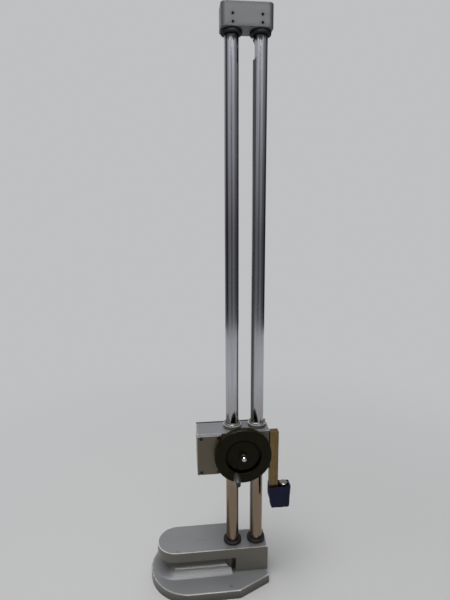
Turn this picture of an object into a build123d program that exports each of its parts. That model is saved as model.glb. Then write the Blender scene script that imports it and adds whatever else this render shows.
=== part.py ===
"""Double-column dial height gauge, one STEP file for each separate piece.

Millimetres, +Z up. The origin is on the underside of the base, midway between the two columns.
The rear (-Y) is the hand-wheel side. The front (+Y) is the reading side, with the dial and the counters.
"""

from build123d import *
import os
from math import acos, atan2, cos, hypot, pi, radians, sin, sqrt, tan

# ---- Clearances ----------------------------------------------------------------------------------
seat_gap = 0.02  # radial, between a piece and the hole that it is pressed or screwed into
running_gap = 0.05  # radial, between a shaft or column and the bush that it runs in
air_gap = 0.3  # between surfaces that pass each other without touching
screw_gap = 0.12  # radial, between a screw and the hole that it passes through
head_gap = 0.25  # radial, between a screw head and its counterbore
key_share = 0.5  # depth of a hexagon socket as a share of its screw head
seam = 1.0  # how far two solids of one casting run into each other before they are joined

# ---- Columns -------------------------------------------------------------------------------------
column_radius = 9.0
column_gap = 17.0  # clear width between the columns, where the rack pinion turns
column_exposed = 690.5  # from the top of the base to the underside of the bracket
column_edge = 0.6
column_spacing = column_gap + 2 * column_radius
left_x = -column_spacing / 2
right_x = column_spacing / 2

# ---- Base casting --------------------------------------------------------------------------------
base_height = 50.5
flange_thickness = 12.9
slab_thickness = 14.8
slab_radius = 28.5  # round left end of the upper slab, and half of its width
slab_end_from_column = -82.5  # centre of that round end, from the left column
slab_mid_y = 9.0
web_half_width = 14.5  # wall under the slab, left between the two finger grooves
groove_foot_radius = 10.0
groove_top_radius = 6.0
block_from_left_column = 2.9
base_past_column = 14.6  # right end of the base, past the rack column
block_front = slab_mid_y - slab_radius
block_back = 20.0
slab_corner_radius = 9.0
column_wall = 3.5  # of the round boss under the slab about the column that stands left of the block
flange_radius = 58.0
flange_end_from_column = -62.9
flange_mid_y = 5.0
flange_bevel_length = 44.7
flange_bevel_half_width = 36.0
base_edge = 0.8
column_socket_floor = 16.0
bolt_head_radius = 6.5
bolt_head_height = 8.0
bolt_key_radius = 3.2
bolt_radius = 4.0
bolt_engagement = 22.0
bolt_hole_spare = 2.0
counterbore_depth = 9.0
relief_depth = 2.5  # shallow pocket under the flange, so that the base rests on its rim
relief_margin = 14.0
relief_from_block = 8.0

# ---- Top bracket ---------------------------------------------------------------------------------
bracket_past_column = 13.7
bracket_wall = 6.0  # before and behind the columns
bracket_height = 26.4
bracket_corner_radius = 6.5
bracket_edge = 1.2
bracket_socket_depth = 20.0
set_screw_radius = 1.6
set_screw_length = 3.6
set_screw_heights = (4.2, 12.8)  # above the underside of the bracket
set_screw_key = 0.75  # radius of the hexagon socket

# ---- Rubber rings at both ends of the columns ----------------------------------------------------
ring_wall = 4.0
ring_height = 5.0
ring_edge = 1.6

# ---- Rack strip ----------------------------------------------------------------------------------
rack_pitch = 2.5
rack_flat_depth = 3.4  # of the flat milled in the column's side
rack_tip_depth = 0.3  # of the tooth tips under the column's round surface
rack_above_base = 11.5
rack_top_below_bracket = 30.0
flat_top_below_bracket = 14.0
flat_runout_radius = 5.0

# ---- Slider at the height where it stands at rest ------------------------------------------------
slider_bottom = 176.7
slider_height = 57.0
slider_past_left_column = 50.5
slider_past_right_column = 15.3
slider_rear_wall = 9.5  # behind the columns
slider_front_wall = 4.0
slider_corner = 1.5
bore_gap = 0.4
boss_wall = 1.5  # of the round bosses about the upper bushes
boss_height = 5.0
bush_wall = 2.0
bush_length = 14.0
bush_foot = 2.5  # how far the lower bushes stand out under the slider
wiper_wall = 2.4
wiper_height = 2.5
wiper_edge = 0.8
cavity_wall = 8.0
cavity_floor = 7.0
cavity_from_left_column = 13.5
cavity_corner = 3.0

# ---- Rear cover ----------------------------------------------------------------------------------
cover_from_left_column = 16.5
cover_thickness = 6.5
cover_plate = 2.5  # thickness of its outer wall
cover_round = 6.0
cover_edge = 0.8
cover_screw_inset = (5.3, 3.7)  # from the cover's sides, and from its top and bottom
cover_screw_head = 2.2
cover_screw_radius = 1.5
cover_screw_length = 12.0
cover_screw_end = 2.0  # left free at the bottom of the hole
cover_counterbore = 2.4
cover_screw_sunk = 0.4
screw_slot = (0.7, 0.9)  # width and depth

# ---- Hand wheel ----------------------------------------------------------------------------------
wheel_from_rack_column = 24.0
wheel_radius = 38.9
wheel_slider_gap = 7.5
wheel_depth = 10.0
wheel_round = 2.0
wheel_rim_width = 7.0  # of the rim's flat on the back
wheel_rim_slope = 2.0
wheel_draft = 0.4  # of the walls of the dish and the centre boss
dish_radius = 24.5
dish_lip = 0.9
dish_depth = 4.6
disc_radius = 21.3
disc_step = 0.8
wheel_web_step = 1.5  # of the back behind the rim
wheel_hub_step = 0.4
wheel_hub_radius = 9.0
wheel_boss_radius = 5.3
wheel_boss_height = 1.4
collar_radius = 4.5
collar_length = 4.3
collar_edge = 0.5
dome_radius = 3.7
dome_length = 6.4
dome_crown = 2.0  # of solid metal over the thread
wheel_shaft_radius = 3.0
wheel_thread_radius = 2.0
thread_end_gap = 0.4
shaft_stub = 0.6  # of the shaft in front of its gear

# ---- Crank handle --------------------------------------------------------------------------------
handle_offset_x = -10.4
handle_offset_z = -24.6
handle_length = 23.5
handle_belly_place = 0.55  # of the widest point, as a share of the length
handle_root_radius = 2.4
handle_belly_radius = 4.4
handle_end_radius = 3.4
handle_pin_radius = 1.5
handle_pin_back = 1.0  # left bare behind the pin
handle_rivet_radius = 2.8
handle_rivet_length = 1.6
handle_rivet_edge = 0.6

# ---- Hand-wheel gears and pinion arbor -----------------------------------------------------------
wheel_module = 0.6
wheel_gear_teeth = 16
arbor_gear_teeth = 24
pinion_teeth = 20
pinion_width = 6.0
arbor_radius = 2.0
arbor_height = 21.0  # of the pinion arbor above the underside of the slider
gear_inset = 2.5  # of the gears in front of the slider's rear face
gear_width = 4.0
gear_pocket_depth = 7.9
gear_pocket_margin = 0.6
gear_cover_thickness = 4.0
gear_cover_rim = 4.1  # outside the gear pocket
gear_cover_screw_inset = 2.3
gear_screw_radius = 1.0
gear_screw_length = 3.5
gear_screw_head = 2.0
gear_screw_head_height = 1.4
bearing_boss_radius = 7.0
bearing_wheel_gap = 0.7
pivot_depth = 2.5
pivot_end_gap = 0.2

# ---- Dial train ----------------------------------------------------------------------------------
train_module = 0.5
train_wheel_teeth = 60
train_pinion_teeth = 12
train_addendum = 0.8
dial_from_pinion = 34.638  # to the left
dial_height = 26.3  # of the dial's centre above the underside of the slider
train_pocket_depth = 3.0
train_pocket_margin = 0.6
drive_gear_gap = 0.4
drive_gear_width = 1.2
transfer_gear_gap = 0.7
transfer_gear_width = 1.1
pinion_overhang = 0.2  # of a train pinion past the wheel that it meets
stud_radius = 1.0
pointer_arbor_radius = 0.8
pointer_arbor_tail = 1.8
pointer_arbor_room = 1.2  # radial, where the arbor passes the panel and the case
pillar_length = 1.4
plate_thickness = 1.2
plate_border = 4.5
plate_arbor_corner = (-1.2, -2.0)  # corner of the plate past the pinion arbor
pillar_radius = 2.4
plate_screw_radius = 1.1
plate_screw_depth = 2.2
plate_screw_head = 2.0
plate_screw_head_height = 0.7
dial_pillar_reach = 13.0
arbor_pillar_offset = (-1.5, 20.0)
foot_pillar_offset = 2.0  # to the right of the transfer stage
foot_pillar_height = 6.8

# ---- Front panel, dial and counters --------------------------------------------------------------
panel_depth = 5.5
panel_wall = 2.0
panel_edge = 0.8
panel_screw_inset = 4.6
panel_screw_radius = 1.5
panel_screw_boss = 1.3
panel_screw_depth = 6.0
panel_screw_head = 2.6
panel_screw_head_height = 1.3
panel_screw_edge = 0.4
case_radius = 22.5
case_wall = 1.6
case_floor = 1.5
case_depth = 6.0
case_screw_reach = 12.0
case_screw_radius = 0.9
case_screw_head = 1.7
case_screw_head_height = 0.5
bezel_wall = 2.42
bezel_gap = 0.08
bezel_chamfer = 1.6
bezel_lip = 0.4  # from the front edge back to the crystal
bezel_sleeve_gap = 0.5
bezel_opening_step = 0.6  # of the ledge that the crystal rests on
bezel_sleeve_step = 0.4  # of the sleeve outside the crystal's seat
bezel_depth = 7.8
bezel_rear_gap = 0.7
face_rise = 2.3  # of the dial face above the front panel
face_thickness = 0.6
crystal_rise = 6.7
crystal_thickness = 1.3
pointer_length = 17.5
pointer_tail = 6.0
pointer_half_widths = (0.25, 1.3, 0.9)  # at the tip, the boss and the tail
pointer_thickness = 0.4
pointer_boss = 2.0
pointer_boss_height = 1.6
pointer_rise = 0.8  # above the dial face
pointer_arbor_end = 2.8  # of the arbor's end above the back of the dial face
drum_radius = 4.8
drum_edge = 0.25
drum_width = 4.5
drum_gap = 0.4
drum_count = 4
drums_from_rack_column = 9.9  # left edge of the units drums, to the left
drum_rise = 5.2  # of the drums' axes in front of the slider
drum_shaft_radius = 1.0
counter_heights = {"down": 27.3, "up": 40.8}  # of the drums' axes above the underside of the slider
frame_wall = 1.6
frame_face = 1.7
frame_edge = 1.0
frame_bottom_height = 19.0
frame_top_height = 49.5
frame_rear_gap = 0.2
frame_depth = 11.8
frame_gap = 0.1
window_height = 5.6
window_rim = 1.0
window_thickness = 0.9
button_radius = 3.0
button_flange_radius = 4.0
button_gap = 0.1
button_edge = 0.6
button_height = 11.5
buttons_from_rack_column = {"down": -5.0, "up": 5.0}
button_stand_out = 2.4
button_flange = 1.1
button_flange_gap = 0.2

# ---- Slide lock ----------------------------------------------------------------------------------
lock_height = 16.5
lock_screw_radius = 2.5
lock_knob_radius = 6.5
lock_knob_length = 8.5
lock_knob_gap = 0.8
lock_flutes = 12
lock_flute_radius = 1.3
lock_flute_reach = 0.6  # of the flutes' centres outside the knob
lock_pad_length = 1.3
lock_pad_gap = 0.35
lock_screw_back = 0.2

# ---- Scriber arm, clamp and wrapping -------------------------------------------------------------
arm_width = 11.8
arm_stand_out = 3.5  # behind the slider
arm_depth = 10.0
arm_top_step = 0.6
arm_drop = 46.2  # of the underside of the foot below the slider
foot_height = 11.5
foot_length = 16.5
foot_fillet = 3.0
arm_screw_inset = 4.2
arm_screw_heights = (14.0, 46.0)
arm_screw_radius = 1.75
arm_screw_head_radius = 3.0
arm_screw_head_height = 3.5
arm_screw_sunk = 0.5
arm_screw_key = 1.4
arm_screw_length = 9.0  # inside the slider
scriber_size = 6.0
scriber_shank = 15.5
scriber_stand_out = 0.4  # past the end of the foot
scriber_tip_width = 2.6
scriber_tip_drop = 6.3
clamp_from_arm = 4.1
clamp_width = 10.0
clamp_side = 2.0
clamp_side_gap = 0.05
clamp_bar = 4.0
clamp_room = 0.6  # over the foot, taken up by the screw
clamp_edge = 1.2
clamp_screw_radius = 2.5
clamp_screw_point = 0.1  # gap under the screw's point
clamp_head_radius = 6.0
clamp_head_height = 5.8
clamp_head_edge = 0.7
wrap_thickness = 0.4
wrap_room = 0.8  # between the clamp and the tape
wrap_past_scriber = 1.0
wrap_below_scriber = 5.9
wrap_past_clamp = 3.0  # above the top of the clamp
wrap_corner = 2.5

# ---- Values that follow from the ones above ------------------------------------------------------
slab_end_x = left_x + slab_end_from_column
flange_end_x = left_x + flange_end_from_column
block_left = left_x + block_from_left_column
base_right = right_x + base_past_column
flange_bevel_start = base_right - flange_bevel_length
column_boss_radius = column_radius + column_wall
bracket_bottom = base_height + column_exposed
bracket_width = column_spacing + 2 * bracket_past_column
bracket_depth = 2 * (column_radius + bracket_wall)
ring_radius = column_radius + ring_wall
rack_flat = column_radius - rack_flat_depth  # distance of the flat from the column's axis
rack_tip = column_radius - rack_tip_depth
rack_bottom = base_height + rack_above_base
slider_left = left_x - slider_past_left_column
slider_right = right_x + slider_past_right_column
slider_rear = -column_radius - slider_rear_wall
slider_front = column_radius + slider_front_wall
slider_top = slider_bottom + slider_height
boss_top = slider_top + boss_height
bore_radius = column_radius + bore_gap
bush_radius = column_radius + bush_wall
boss_radius = bush_radius + boss_wall
wiper_radius = column_radius + wiper_wall
cavity_right = left_x - cavity_from_left_column
cover_right = left_x - cover_from_left_column
cover_rear = slider_rear - cover_thickness
wheel_x = right_x - wheel_from_rack_column
wheel_back = slider_rear - wheel_slider_gap
wheel_front = wheel_back - wheel_depth
dial_z = slider_bottom + dial_height
arbor_z = slider_bottom + arbor_height
gear_zone_rear = slider_rear + gear_inset
gear_zone_front = gear_zone_rear + gear_width
gear_pocket_floor = slider_rear + gear_pocket_depth
train_pocket_floor = slider_front - train_pocket_depth
disc_face = wheel_front + dish_depth - disc_step
boss_face = disc_face - wheel_boss_height  # where the chrome collar sits
nut_back = boss_face - collar_length
nut_front = nut_back - dome_length
panel_front = slider_front + panel_depth
panel_inner = panel_front - panel_wall
case_front = panel_front + case_depth
bezel_rear = panel_front + bezel_rear_gap
bezel_front = bezel_rear + bezel_depth
bezel_radius = case_radius + bezel_gap + bezel_wall
bezel_sleeve_radius = case_radius - case_wall - bezel_sleeve_gap
crystal_radius = bezel_sleeve_radius - bezel_sleeve_step
bezel_opening = crystal_radius - bezel_opening_step
face_rear = panel_front + face_rise
face_front = face_rear + face_thickness
crystal_rear = panel_front + crystal_rise
plate_rear = slider_front + pillar_length
plate_front = plate_rear + plate_thickness
drum_y = slider_front + drum_rise
frame_rear = slider_front + frame_rear_gap
frame_front = frame_rear + frame_depth
drum_start_x = right_x - drums_from_rack_column
drive_rear = train_pocket_floor + drive_gear_gap
drive_front = drive_rear + drive_gear_width
transfer_rear = drive_front + transfer_gear_gap
transfer_front = transfer_rear + transfer_gear_width
gear_cover_rear = slider_rear - gear_cover_thickness
bearing_rear = wheel_back + bearing_wheel_gap
rack_top = bracket_bottom - rack_top_below_bracket
rack_module = rack_pitch / pi
rack_flat_x = right_x - rack_flat
pinion_x = right_x - rack_tip + rack_module - rack_module * pinion_teeth / 2
dial_x = pinion_x - dial_from_pinion
wheel_gear_distance = wheel_module * (wheel_gear_teeth + arbor_gear_teeth) / 2
wheel_z = arbor_z + sqrt(wheel_gear_distance**2 - (pinion_x - wheel_x) ** 2)
train_distance = train_module * (train_wheel_teeth + train_pinion_teeth) / 2
train_reach = hypot(dial_x - pinion_x, dial_z - arbor_z)
train_offset = sqrt(train_distance**2 - (train_reach / 2) ** 2)
transfer_x = (pinion_x + dial_x) / 2 + train_offset * (dial_z - arbor_z) / train_reach
transfer_z = (arbor_z + dial_z) / 2 + train_offset * (pinion_x - dial_x) / train_reach
handle_x = wheel_x + handle_offset_x
handle_z = wheel_z + handle_offset_z
handle_root = wheel_front - air_gap
handle_end = handle_root - handle_length
arm_right = slider_right + arm_width
arm_rear = slider_rear - arm_stand_out
arm_front = arm_rear + arm_depth
arm_screw_y = arm_front - arm_screw_inset
foot_bottom = slider_bottom - arm_drop
foot_top = foot_bottom + foot_height
foot_right = arm_right + foot_length
foot_mid_y = (arm_rear + arm_front) / 2
scriber_bottom = foot_bottom - scriber_size
scriber_right = foot_right + scriber_stand_out
clamp_left = arm_right + clamp_from_arm
clamp_right = clamp_left + clamp_width
clamp_x = (clamp_left + clamp_right) / 2
clamp_top = foot_top + clamp_room + clamp_bar

parts = {}


# ---- Shapes used by many pieces ------------------------------------------------------------------
def block(x0, x1, y0, y1, z0, z1):
    """A box between two opposite corners."""
    return Pos((x0 + x1) / 2, (y0 + y1) / 2, (z0 + z1) / 2) * Box(x1 - x0, y1 - y0, z1 - z0)


def rod_x(radius, y, z, x0, x1):
    """A round rod along X."""
    return Pos((x0 + x1) / 2, y, z) * Rot(Y=90) * Cylinder(radius, x1 - x0)


def rod_y(radius, x, z, y0, y1):
    """A round rod along Y."""
    return Pos(x, (y0 + y1) / 2, z) * Rot(X=90) * Cylinder(radius, y1 - y0)


def rod_z(radius, x, y, z0, z1):
    """A round rod along Z."""
    return Pos(x, y, (z0 + z1) / 2) * Cylinder(radius, z1 - z0)


def seen_from_rear(outline, x, z, y_rear, y_front):
    """An outline drawn as the rear view shows it, X right and Z up, made solid between two depths."""
    place = Plane(origin=(x, y_front, z), x_dir=(1, 0, 0), z_dir=(0, -1, 0))
    return place.location * extrude(outline, amount=y_front - y_rear, dir=(0, 0, 1))


def turned_y(profile, x, z):
    """A solid of revolution about an axis along Y, from closed (radius, y) points."""
    face = make_face(Polyline(*[(r, y) for r, y in profile], close=True))
    return Pos(x, 0, z) * revolve(face, Axis.Y)


def vertical_edges(solid):
    return solid.edges().filter_by(Axis.Z)


# ---- Gear teeth ----------------------------------------------------------------------------------
pressure_angle = radians(20)
backlash = 0.1
flank_steps = 2


def involute(angle):
    return tan(angle) - angle


def gear_face(teeth, module, first_tooth, addendum=1.0, steps=flank_steps):
    """Outline of a spur gear with involute flanks. first_tooth is the angle of one tooth's centre."""
    pitch_radius = module * teeth / 2
    base_radius = pitch_radius * cos(pressure_angle)
    tip_radius = pitch_radius + module * addendum
    root_radius = pitch_radius - module * (addendum + 0.25)
    half_pitch_angle = pi / (2 * teeth) - backlash / (4 * pitch_radius)

    def half_angle(radius):
        slope = acos(min(1.0, base_radius / radius))
        return half_pitch_angle + involute(pressure_angle) - involute(slope)

    radii = [root_radius + (tip_radius - root_radius) * i / steps for i in range(steps + 1)]
    points = []
    for tooth in range(teeth):
        centre = first_tooth + 2 * pi * tooth / teeth
        flank = [(r, centre - half_angle(r)) for r in radii]
        flank += [(r, centre + half_angle(r)) for r in reversed(radii)]
        points += [(r * cos(a), r * sin(a)) for r, a in flank]
    return make_face(Polyline(*points, close=True))


def direction(x0, z0, x1, z1):
    """Angle from one axis to another in the rear view."""
    return atan2(z1 - z0, x1 - x0)


def meshing_tooth(angle, teeth):
    """Angle of the first tooth of a gear whose gap faces a mate's tooth at the given angle."""
    return angle + pi + pi / teeth


# ---- Base ----------------------------------------------------------------------------------------
def groove_profile():
    """Half cross-section of the slab and its web: distance from the mid-line, and height."""
    slab_bottom = base_height - slab_thickness
    foot = flange_thickness + groove_foot_radius
    top = slab_bottom - groove_top_radius
    lower = RadiusArc(
        (web_half_width + groove_foot_radius, flange_thickness), (web_half_width, foot), groove_foot_radius
    )
    upper = RadiusArc(
        (web_half_width, top), (web_half_width + groove_top_radius, slab_bottom), groove_top_radius
    )
    return lower, upper, slab_bottom, foot, top


def base_casting():
    lower, upper, slab_bottom, foot, top = groove_profile()
    half = make_face(
        Polyline(
            (0, base_height),
            (0, flange_thickness - seam),
            (web_half_width + groove_foot_radius, flange_thickness - seam),
            (web_half_width + groove_foot_radius, flange_thickness),
        )
        + lower
        + Line((web_half_width, foot), (web_half_width, top))
        + upper
        + Polyline(
            (web_half_width + groove_top_radius, slab_bottom),
            (slab_radius, slab_bottom),
            (slab_radius, base_height),
            (0, base_height),
        )
    )
    end = Pos(slab_end_x, slab_mid_y, 0) * revolve(Plane.XZ * half, Axis.Z)
    section = half + mirror(half, Plane.YZ)
    run_length = block_left + seam - slab_end_x
    run = extrude(
        Plane(origin=(slab_end_x, slab_mid_y, 0), x_dir=(0, 1, 0), z_dir=(1, 0, 0)) * section,
        amount=run_length,
        dir=(1, 0, 0),
    )
    far_corner = run.edges().filter_by(Axis.Z).filter_by(
        lambda e: e.center().X > block_left and e.center().Y > slab_mid_y + slab_radius - seam
    )
    run = fillet(far_corner, slab_corner_radius)
    column_block = block(block_left, base_right, block_front, block_back, 0, base_height)
    column_block += rod_z(column_boss_radius, left_x, 0, 0, base_height)
    flange_front = flange_mid_y - flange_radius
    flange_back = flange_mid_y + flange_radius
    outline = make_face(
        Polyline(
            (flange_end_x, flange_front),
            (flange_bevel_start, flange_front),
            (base_right, flange_mid_y - flange_bevel_half_width),
            (base_right, flange_mid_y + flange_bevel_half_width),
            (flange_bevel_start, flange_back),
            (flange_end_x, flange_back),
        )
        + ThreePointArc(
            (flange_end_x, flange_back),
            (flange_end_x - flange_radius, flange_mid_y),
            (flange_end_x, flange_front),
        )
    )
    flange = extrude(outline, amount=flange_thickness)
    flange = chamfer(flange.faces().sort_by(Axis.Z)[-1].edges(), base_edge)
    casting = flange + end + run + column_block
    relief_right = block_left - relief_from_block
    relief = extrude(offset(outline, -relief_margin), amount=relief_depth)
    relief &= block(flange_end_x - flange_radius, relief_right, flange_front, flange_back, 0, relief_depth)
    casting -= relief
    for x in (left_x, right_x):
        casting -= rod_z(column_radius + seat_gap, x, 0, column_socket_floor, base_height)
        casting -= rod_z(bolt_radius + air_gap, x, 0, 0, column_socket_floor)
        casting -= rod_z(bolt_head_radius + air_gap, x, 0, 0, counterbore_depth)
    return casting


def column_bolts():
    head_bottom = counterbore_depth - bolt_head_height
    bolts = []
    for x in (left_x, right_x):
        bolt = rod_z(bolt_head_radius, x, 0, head_bottom, counterbore_depth)
        bolt += rod_z(bolt_radius, x, 0, counterbore_depth, column_socket_floor + bolt_engagement)
        key = extrude(RegularPolygon(bolt_key_radius, 6), amount=bolt_head_height * key_share)
        bolts.append(bolt - Pos(x, 0, head_bottom) * key)
    return bolts


# ---- Columns, rack and bracket -------------------------------------------------------------------
def plain_column(x):
    top = bracket_bottom + bracket_socket_depth
    column = rod_z(column_radius, x, 0, column_socket_floor, top)
    column = chamfer(column.edges(), column_edge)
    hole_top = column_socket_floor + bolt_engagement + bolt_hole_spare
    return column - rod_z(bolt_radius + seat_gap, x, 0, column_socket_floor, hole_top)


def rack_column():
    """The column on the pinion's side, with a flat milled along it that carries the rack."""
    flat_top = bracket_bottom - flat_top_below_bracket
    room = column_radius * 2
    cut = block(right_x - room, rack_flat_x, -room, room, rack_bottom, flat_top)
    runout = rod_y(flat_runout_radius, rack_flat_x - flat_runout_radius, flat_top, -room, room)
    return plain_column(right_x) - cut - runout


def rack_strip():
    """The toothed strip on the flat, kept inside the column's circle so that the bushes pass over it."""
    circle = column_radius - running_gap
    depth = rack_module * 2.25
    root = rack_tip - depth
    tip_x = right_x - rack_tip
    root_x = right_x - root
    half_tip = rack_pitch / 4 - backlash / 4 - rack_module * tan(pressure_angle)
    half_root = half_tip + depth * tan(pressure_angle)
    meshing_z = arbor_z + rack_pitch / 2  # a rack tooth faces a gap of the pinion here
    first = int((rack_bottom + half_root - meshing_z) // rack_pitch) + 1
    last = int((rack_top - half_root - meshing_z) // rack_pitch)
    points = [(rack_flat_x, rack_bottom), (root_x, rack_bottom)]
    for tooth in range(first, last + 1):
        z = meshing_z + tooth * rack_pitch
        points += [(root_x, z - half_root), (tip_x, z - half_tip)]
        points += [(tip_x, z + half_tip), (root_x, z + half_root)]
    points += [(root_x, rack_top), (rack_flat_x, rack_top)]
    toothed = seen_from_rear(make_face(Polyline(*points, close=True)), 0, 0, -circle, circle)
    levels = (rack_flat, root, rack_tip)
    side = [(right_x - level, sqrt(circle**2 - level**2)) for level in levels]
    plan = side + [(x, -y) for x, y in reversed(side)]
    envelope = extrude(make_face(Polyline(*plan, close=True)), amount=rack_top - rack_bottom)
    return toothed & Pos(0, 0, rack_bottom) * envelope


def top_bracket():
    body = Pos(0, 0, bracket_bottom) * extrude(
        RectangleRounded(bracket_width, bracket_depth, bracket_corner_radius), amount=bracket_height
    )
    body = fillet(body.faces().sort_by(Axis.Z)[-1].edges(), bracket_edge)
    for x in (left_x, right_x):
        body -= rod_z(
            column_radius + seat_gap, x, 0, bracket_bottom, bracket_bottom + bracket_socket_depth
        )
        for height in set_screw_heights:
            body -= rod_y(set_screw_radius + seat_gap, x, bracket_bottom + height, -bracket_depth, 0)
    return body


def bracket_set_screws():
    tip = -column_radius - seat_gap
    screws = []
    for x in (left_x, right_x):
        for height in set_screw_heights:
            z = bracket_bottom + height
            screw = rod_y(set_screw_radius, x, z, tip - set_screw_length, tip)
            outer = tip - set_screw_length
            key_floor = outer + set_screw_length * key_share
            key = seen_from_rear(RegularPolygon(set_screw_key, 6), x, z, outer, key_floor)
            screws.append(screw - key)
    return screws


def column_ring(x, bottom):
    ring = fillet(rod_z(ring_radius, x, 0, bottom, bottom + ring_height).edges(), ring_edge)
    return ring - rod_z(column_radius + seat_gap, x, 0, bottom, bottom + ring_height)


# ---- Slider housing ------------------------------------------------------------------------------
def cover_screw_places():
    return [
        (x, z)
        for x in (slider_left + cover_screw_inset[0], cover_right - cover_screw_inset[0])
        for z in (slider_bottom + cover_screw_inset[1], slider_top - cover_screw_inset[1])
    ]


def panel_screw_places():
    return [
        (x, z)
        for x in (slider_left + panel_screw_inset, slider_right - panel_screw_inset)
        for z in (slider_bottom + panel_screw_inset, slider_top - panel_screw_inset)
    ]


def plate_screw_places():
    """The three pillars of the movement plate, outside the dial train's pocket."""
    return [
        (dial_x - dial_pillar_reach, dial_z),
        (pinion_x + arbor_pillar_offset[0], arbor_z + arbor_pillar_offset[1]),
        (transfer_x + foot_pillar_offset, slider_bottom + foot_pillar_height),
    ]


def gear_cover_screw_places():
    angle = direction(wheel_x, wheel_z, pinion_x, arbor_z)
    reach = gear_cover_radius() - gear_cover_screw_inset
    return [
        (wheel_x - reach * cos(angle), wheel_z - reach * sin(angle)),
        (pinion_x + reach * cos(angle), arbor_z + reach * sin(angle)),
    ]


def tip_radius(teeth, module, addendum=1.0):
    return module * (teeth / 2 + addendum)


def gear_cover_radius():
    return tip_radius(arbor_gear_teeth, wheel_module) + gear_pocket_margin + gear_cover_rim


def gear_pocket():
    """The recess behind the gear cover for the hand wheel's gear and the one it drives."""
    wheel_gear = tip_radius(wheel_gear_teeth, wheel_module) + gear_pocket_margin
    arbor_gear = tip_radius(arbor_gear_teeth, wheel_module) + gear_pocket_margin
    return rod_y(wheel_gear, wheel_x, wheel_z, slider_rear, gear_pocket_floor) + rod_y(
        arbor_gear, pinion_x, arbor_z, slider_rear, gear_pocket_floor
    )


def train_pocket():
    """The recess behind the front panel for the dial train."""
    wheel = tip_radius(train_wheel_teeth, train_module, train_addendum) + train_pocket_margin
    pinion = tip_radius(train_pinion_teeth, train_module, train_addendum) + train_pocket_margin
    pocket = rod_y(wheel, pinion_x, arbor_z, train_pocket_floor, slider_front)
    pocket += rod_y(wheel, transfer_x, transfer_z, train_pocket_floor, slider_front)
    return pocket + rod_y(pinion, dial_x, dial_z, train_pocket_floor, slider_front)


def slider_housing():
    body = block(slider_left, slider_right, slider_rear, slider_front, slider_bottom, slider_top)
    rear_edges = vertical_edges(body).sort_by(Axis.Y)[:2]
    body = fillet(rear_edges, slider_corner)
    lower_seat = slider_bottom + bush_length - bush_foot
    upper_seat = boss_top - bush_length
    for x in (left_x, right_x):
        body += rod_z(boss_radius, x, 0, slider_top, boss_top)
    for x in (left_x, right_x):
        body -= rod_z(bore_radius, x, 0, slider_bottom, boss_top)
        body -= rod_z(bush_radius + seat_gap, x, 0, slider_bottom, lower_seat)
        body -= rod_z(bush_radius + seat_gap, x, 0, upper_seat, boss_top)
    cavity = block(
        slider_left + cavity_wall,
        cavity_right,
        slider_rear,
        slider_front - cavity_floor,
        slider_bottom + cavity_wall,
        slider_top - cavity_wall,
    )
    body -= fillet(cavity.edges().filter_by(Axis.Y), cavity_corner)
    body -= gear_pocket() + train_pocket()
    pinion_pocket = tip_radius(pinion_teeth, rack_module) + air_gap
    half_width = pinion_width / 2 + air_gap
    body -= rod_y(pinion_pocket, pinion_x, arbor_z, -half_width, half_width)
    body -= rod_y(arbor_radius + running_gap, pinion_x, arbor_z, gear_pocket_floor, train_pocket_floor)
    pivot_floor = train_pocket_floor - pointer_arbor_tail - pivot_end_gap
    body -= rod_y(pointer_arbor_radius + running_gap, dial_x, dial_z, pivot_floor, slider_front)
    for x, z in cover_screw_places():
        body -= rod_y(cover_screw_radius + seat_gap, x, z, slider_rear, slider_rear + cover_screw_length)
    for x, z in panel_screw_places():
        body -= rod_y(panel_screw_radius + seat_gap, x, z, slider_front - panel_screw_depth, slider_front)
    for x, z in plate_screw_places():
        body -= rod_y(plate_screw_radius + seat_gap, x, z, slider_front - plate_screw_depth, slider_front)
    for x, z in gear_cover_screw_places():
        hole_floor = slider_rear + gear_screw_length + pivot_end_gap
        body -= rod_y(gear_screw_radius + seat_gap, x, z, slider_rear, hole_floor)
    for height in arm_screw_heights:
        z = slider_bottom + height
        body -= rod_x(
            arm_screw_radius + seat_gap, arm_screw_y, z, slider_right - arm_screw_length, slider_right
        )
    body -= rod_x(lock_screw_radius + running_gap, 0, slider_bottom + lock_height, right_x, slider_right)
    return body


def guide_bush(x, bottom):
    bush = rod_z(bush_radius, x, 0, bottom, bottom + bush_length)
    return bush - rod_z(column_radius + running_gap, x, 0, bottom, bottom + bush_length)


def wiper_cap(x):
    cap = rod_z(wiper_radius, x, 0, boss_top, boss_top + wiper_height)
    cap = fillet(cap.faces().sort_by(Axis.Z)[-1].edges(), wiper_edge)
    return cap - rod_z(column_radius + air_gap, x, 0, boss_top, boss_top + wiper_height)


def rear_cover():
    cover = block(slider_left, cover_right, cover_rear, slider_rear, slider_bottom, slider_top)
    outer_corners = vertical_edges(cover).filter_by(lambda e: e.center().Y < slider_rear - seam)
    cover = fillet(outer_corners.sort_by(Axis.X)[-1], cover_round)
    cover = fillet(cover.faces().sort_by(Axis.Y)[0].edges(), cover_edge)
    cavity = block(
        slider_left + cavity_wall,
        cover_right - cavity_wall,
        cover_rear + cover_plate,
        slider_rear,
        slider_bottom + cavity_wall,
        slider_top - cavity_wall,
    )
    cover -= fillet(cavity.edges().filter_by(Axis.Y), cavity_corner)
    seat = cover_rear + cover_counterbore
    for x, z in cover_screw_places():
        cover -= rod_y(cover_screw_radius + screw_gap, x, z, cover_rear, slider_rear)
        cover -= rod_y(cover_screw_head + head_gap, x, z, cover_rear, seat)
    return cover


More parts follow.
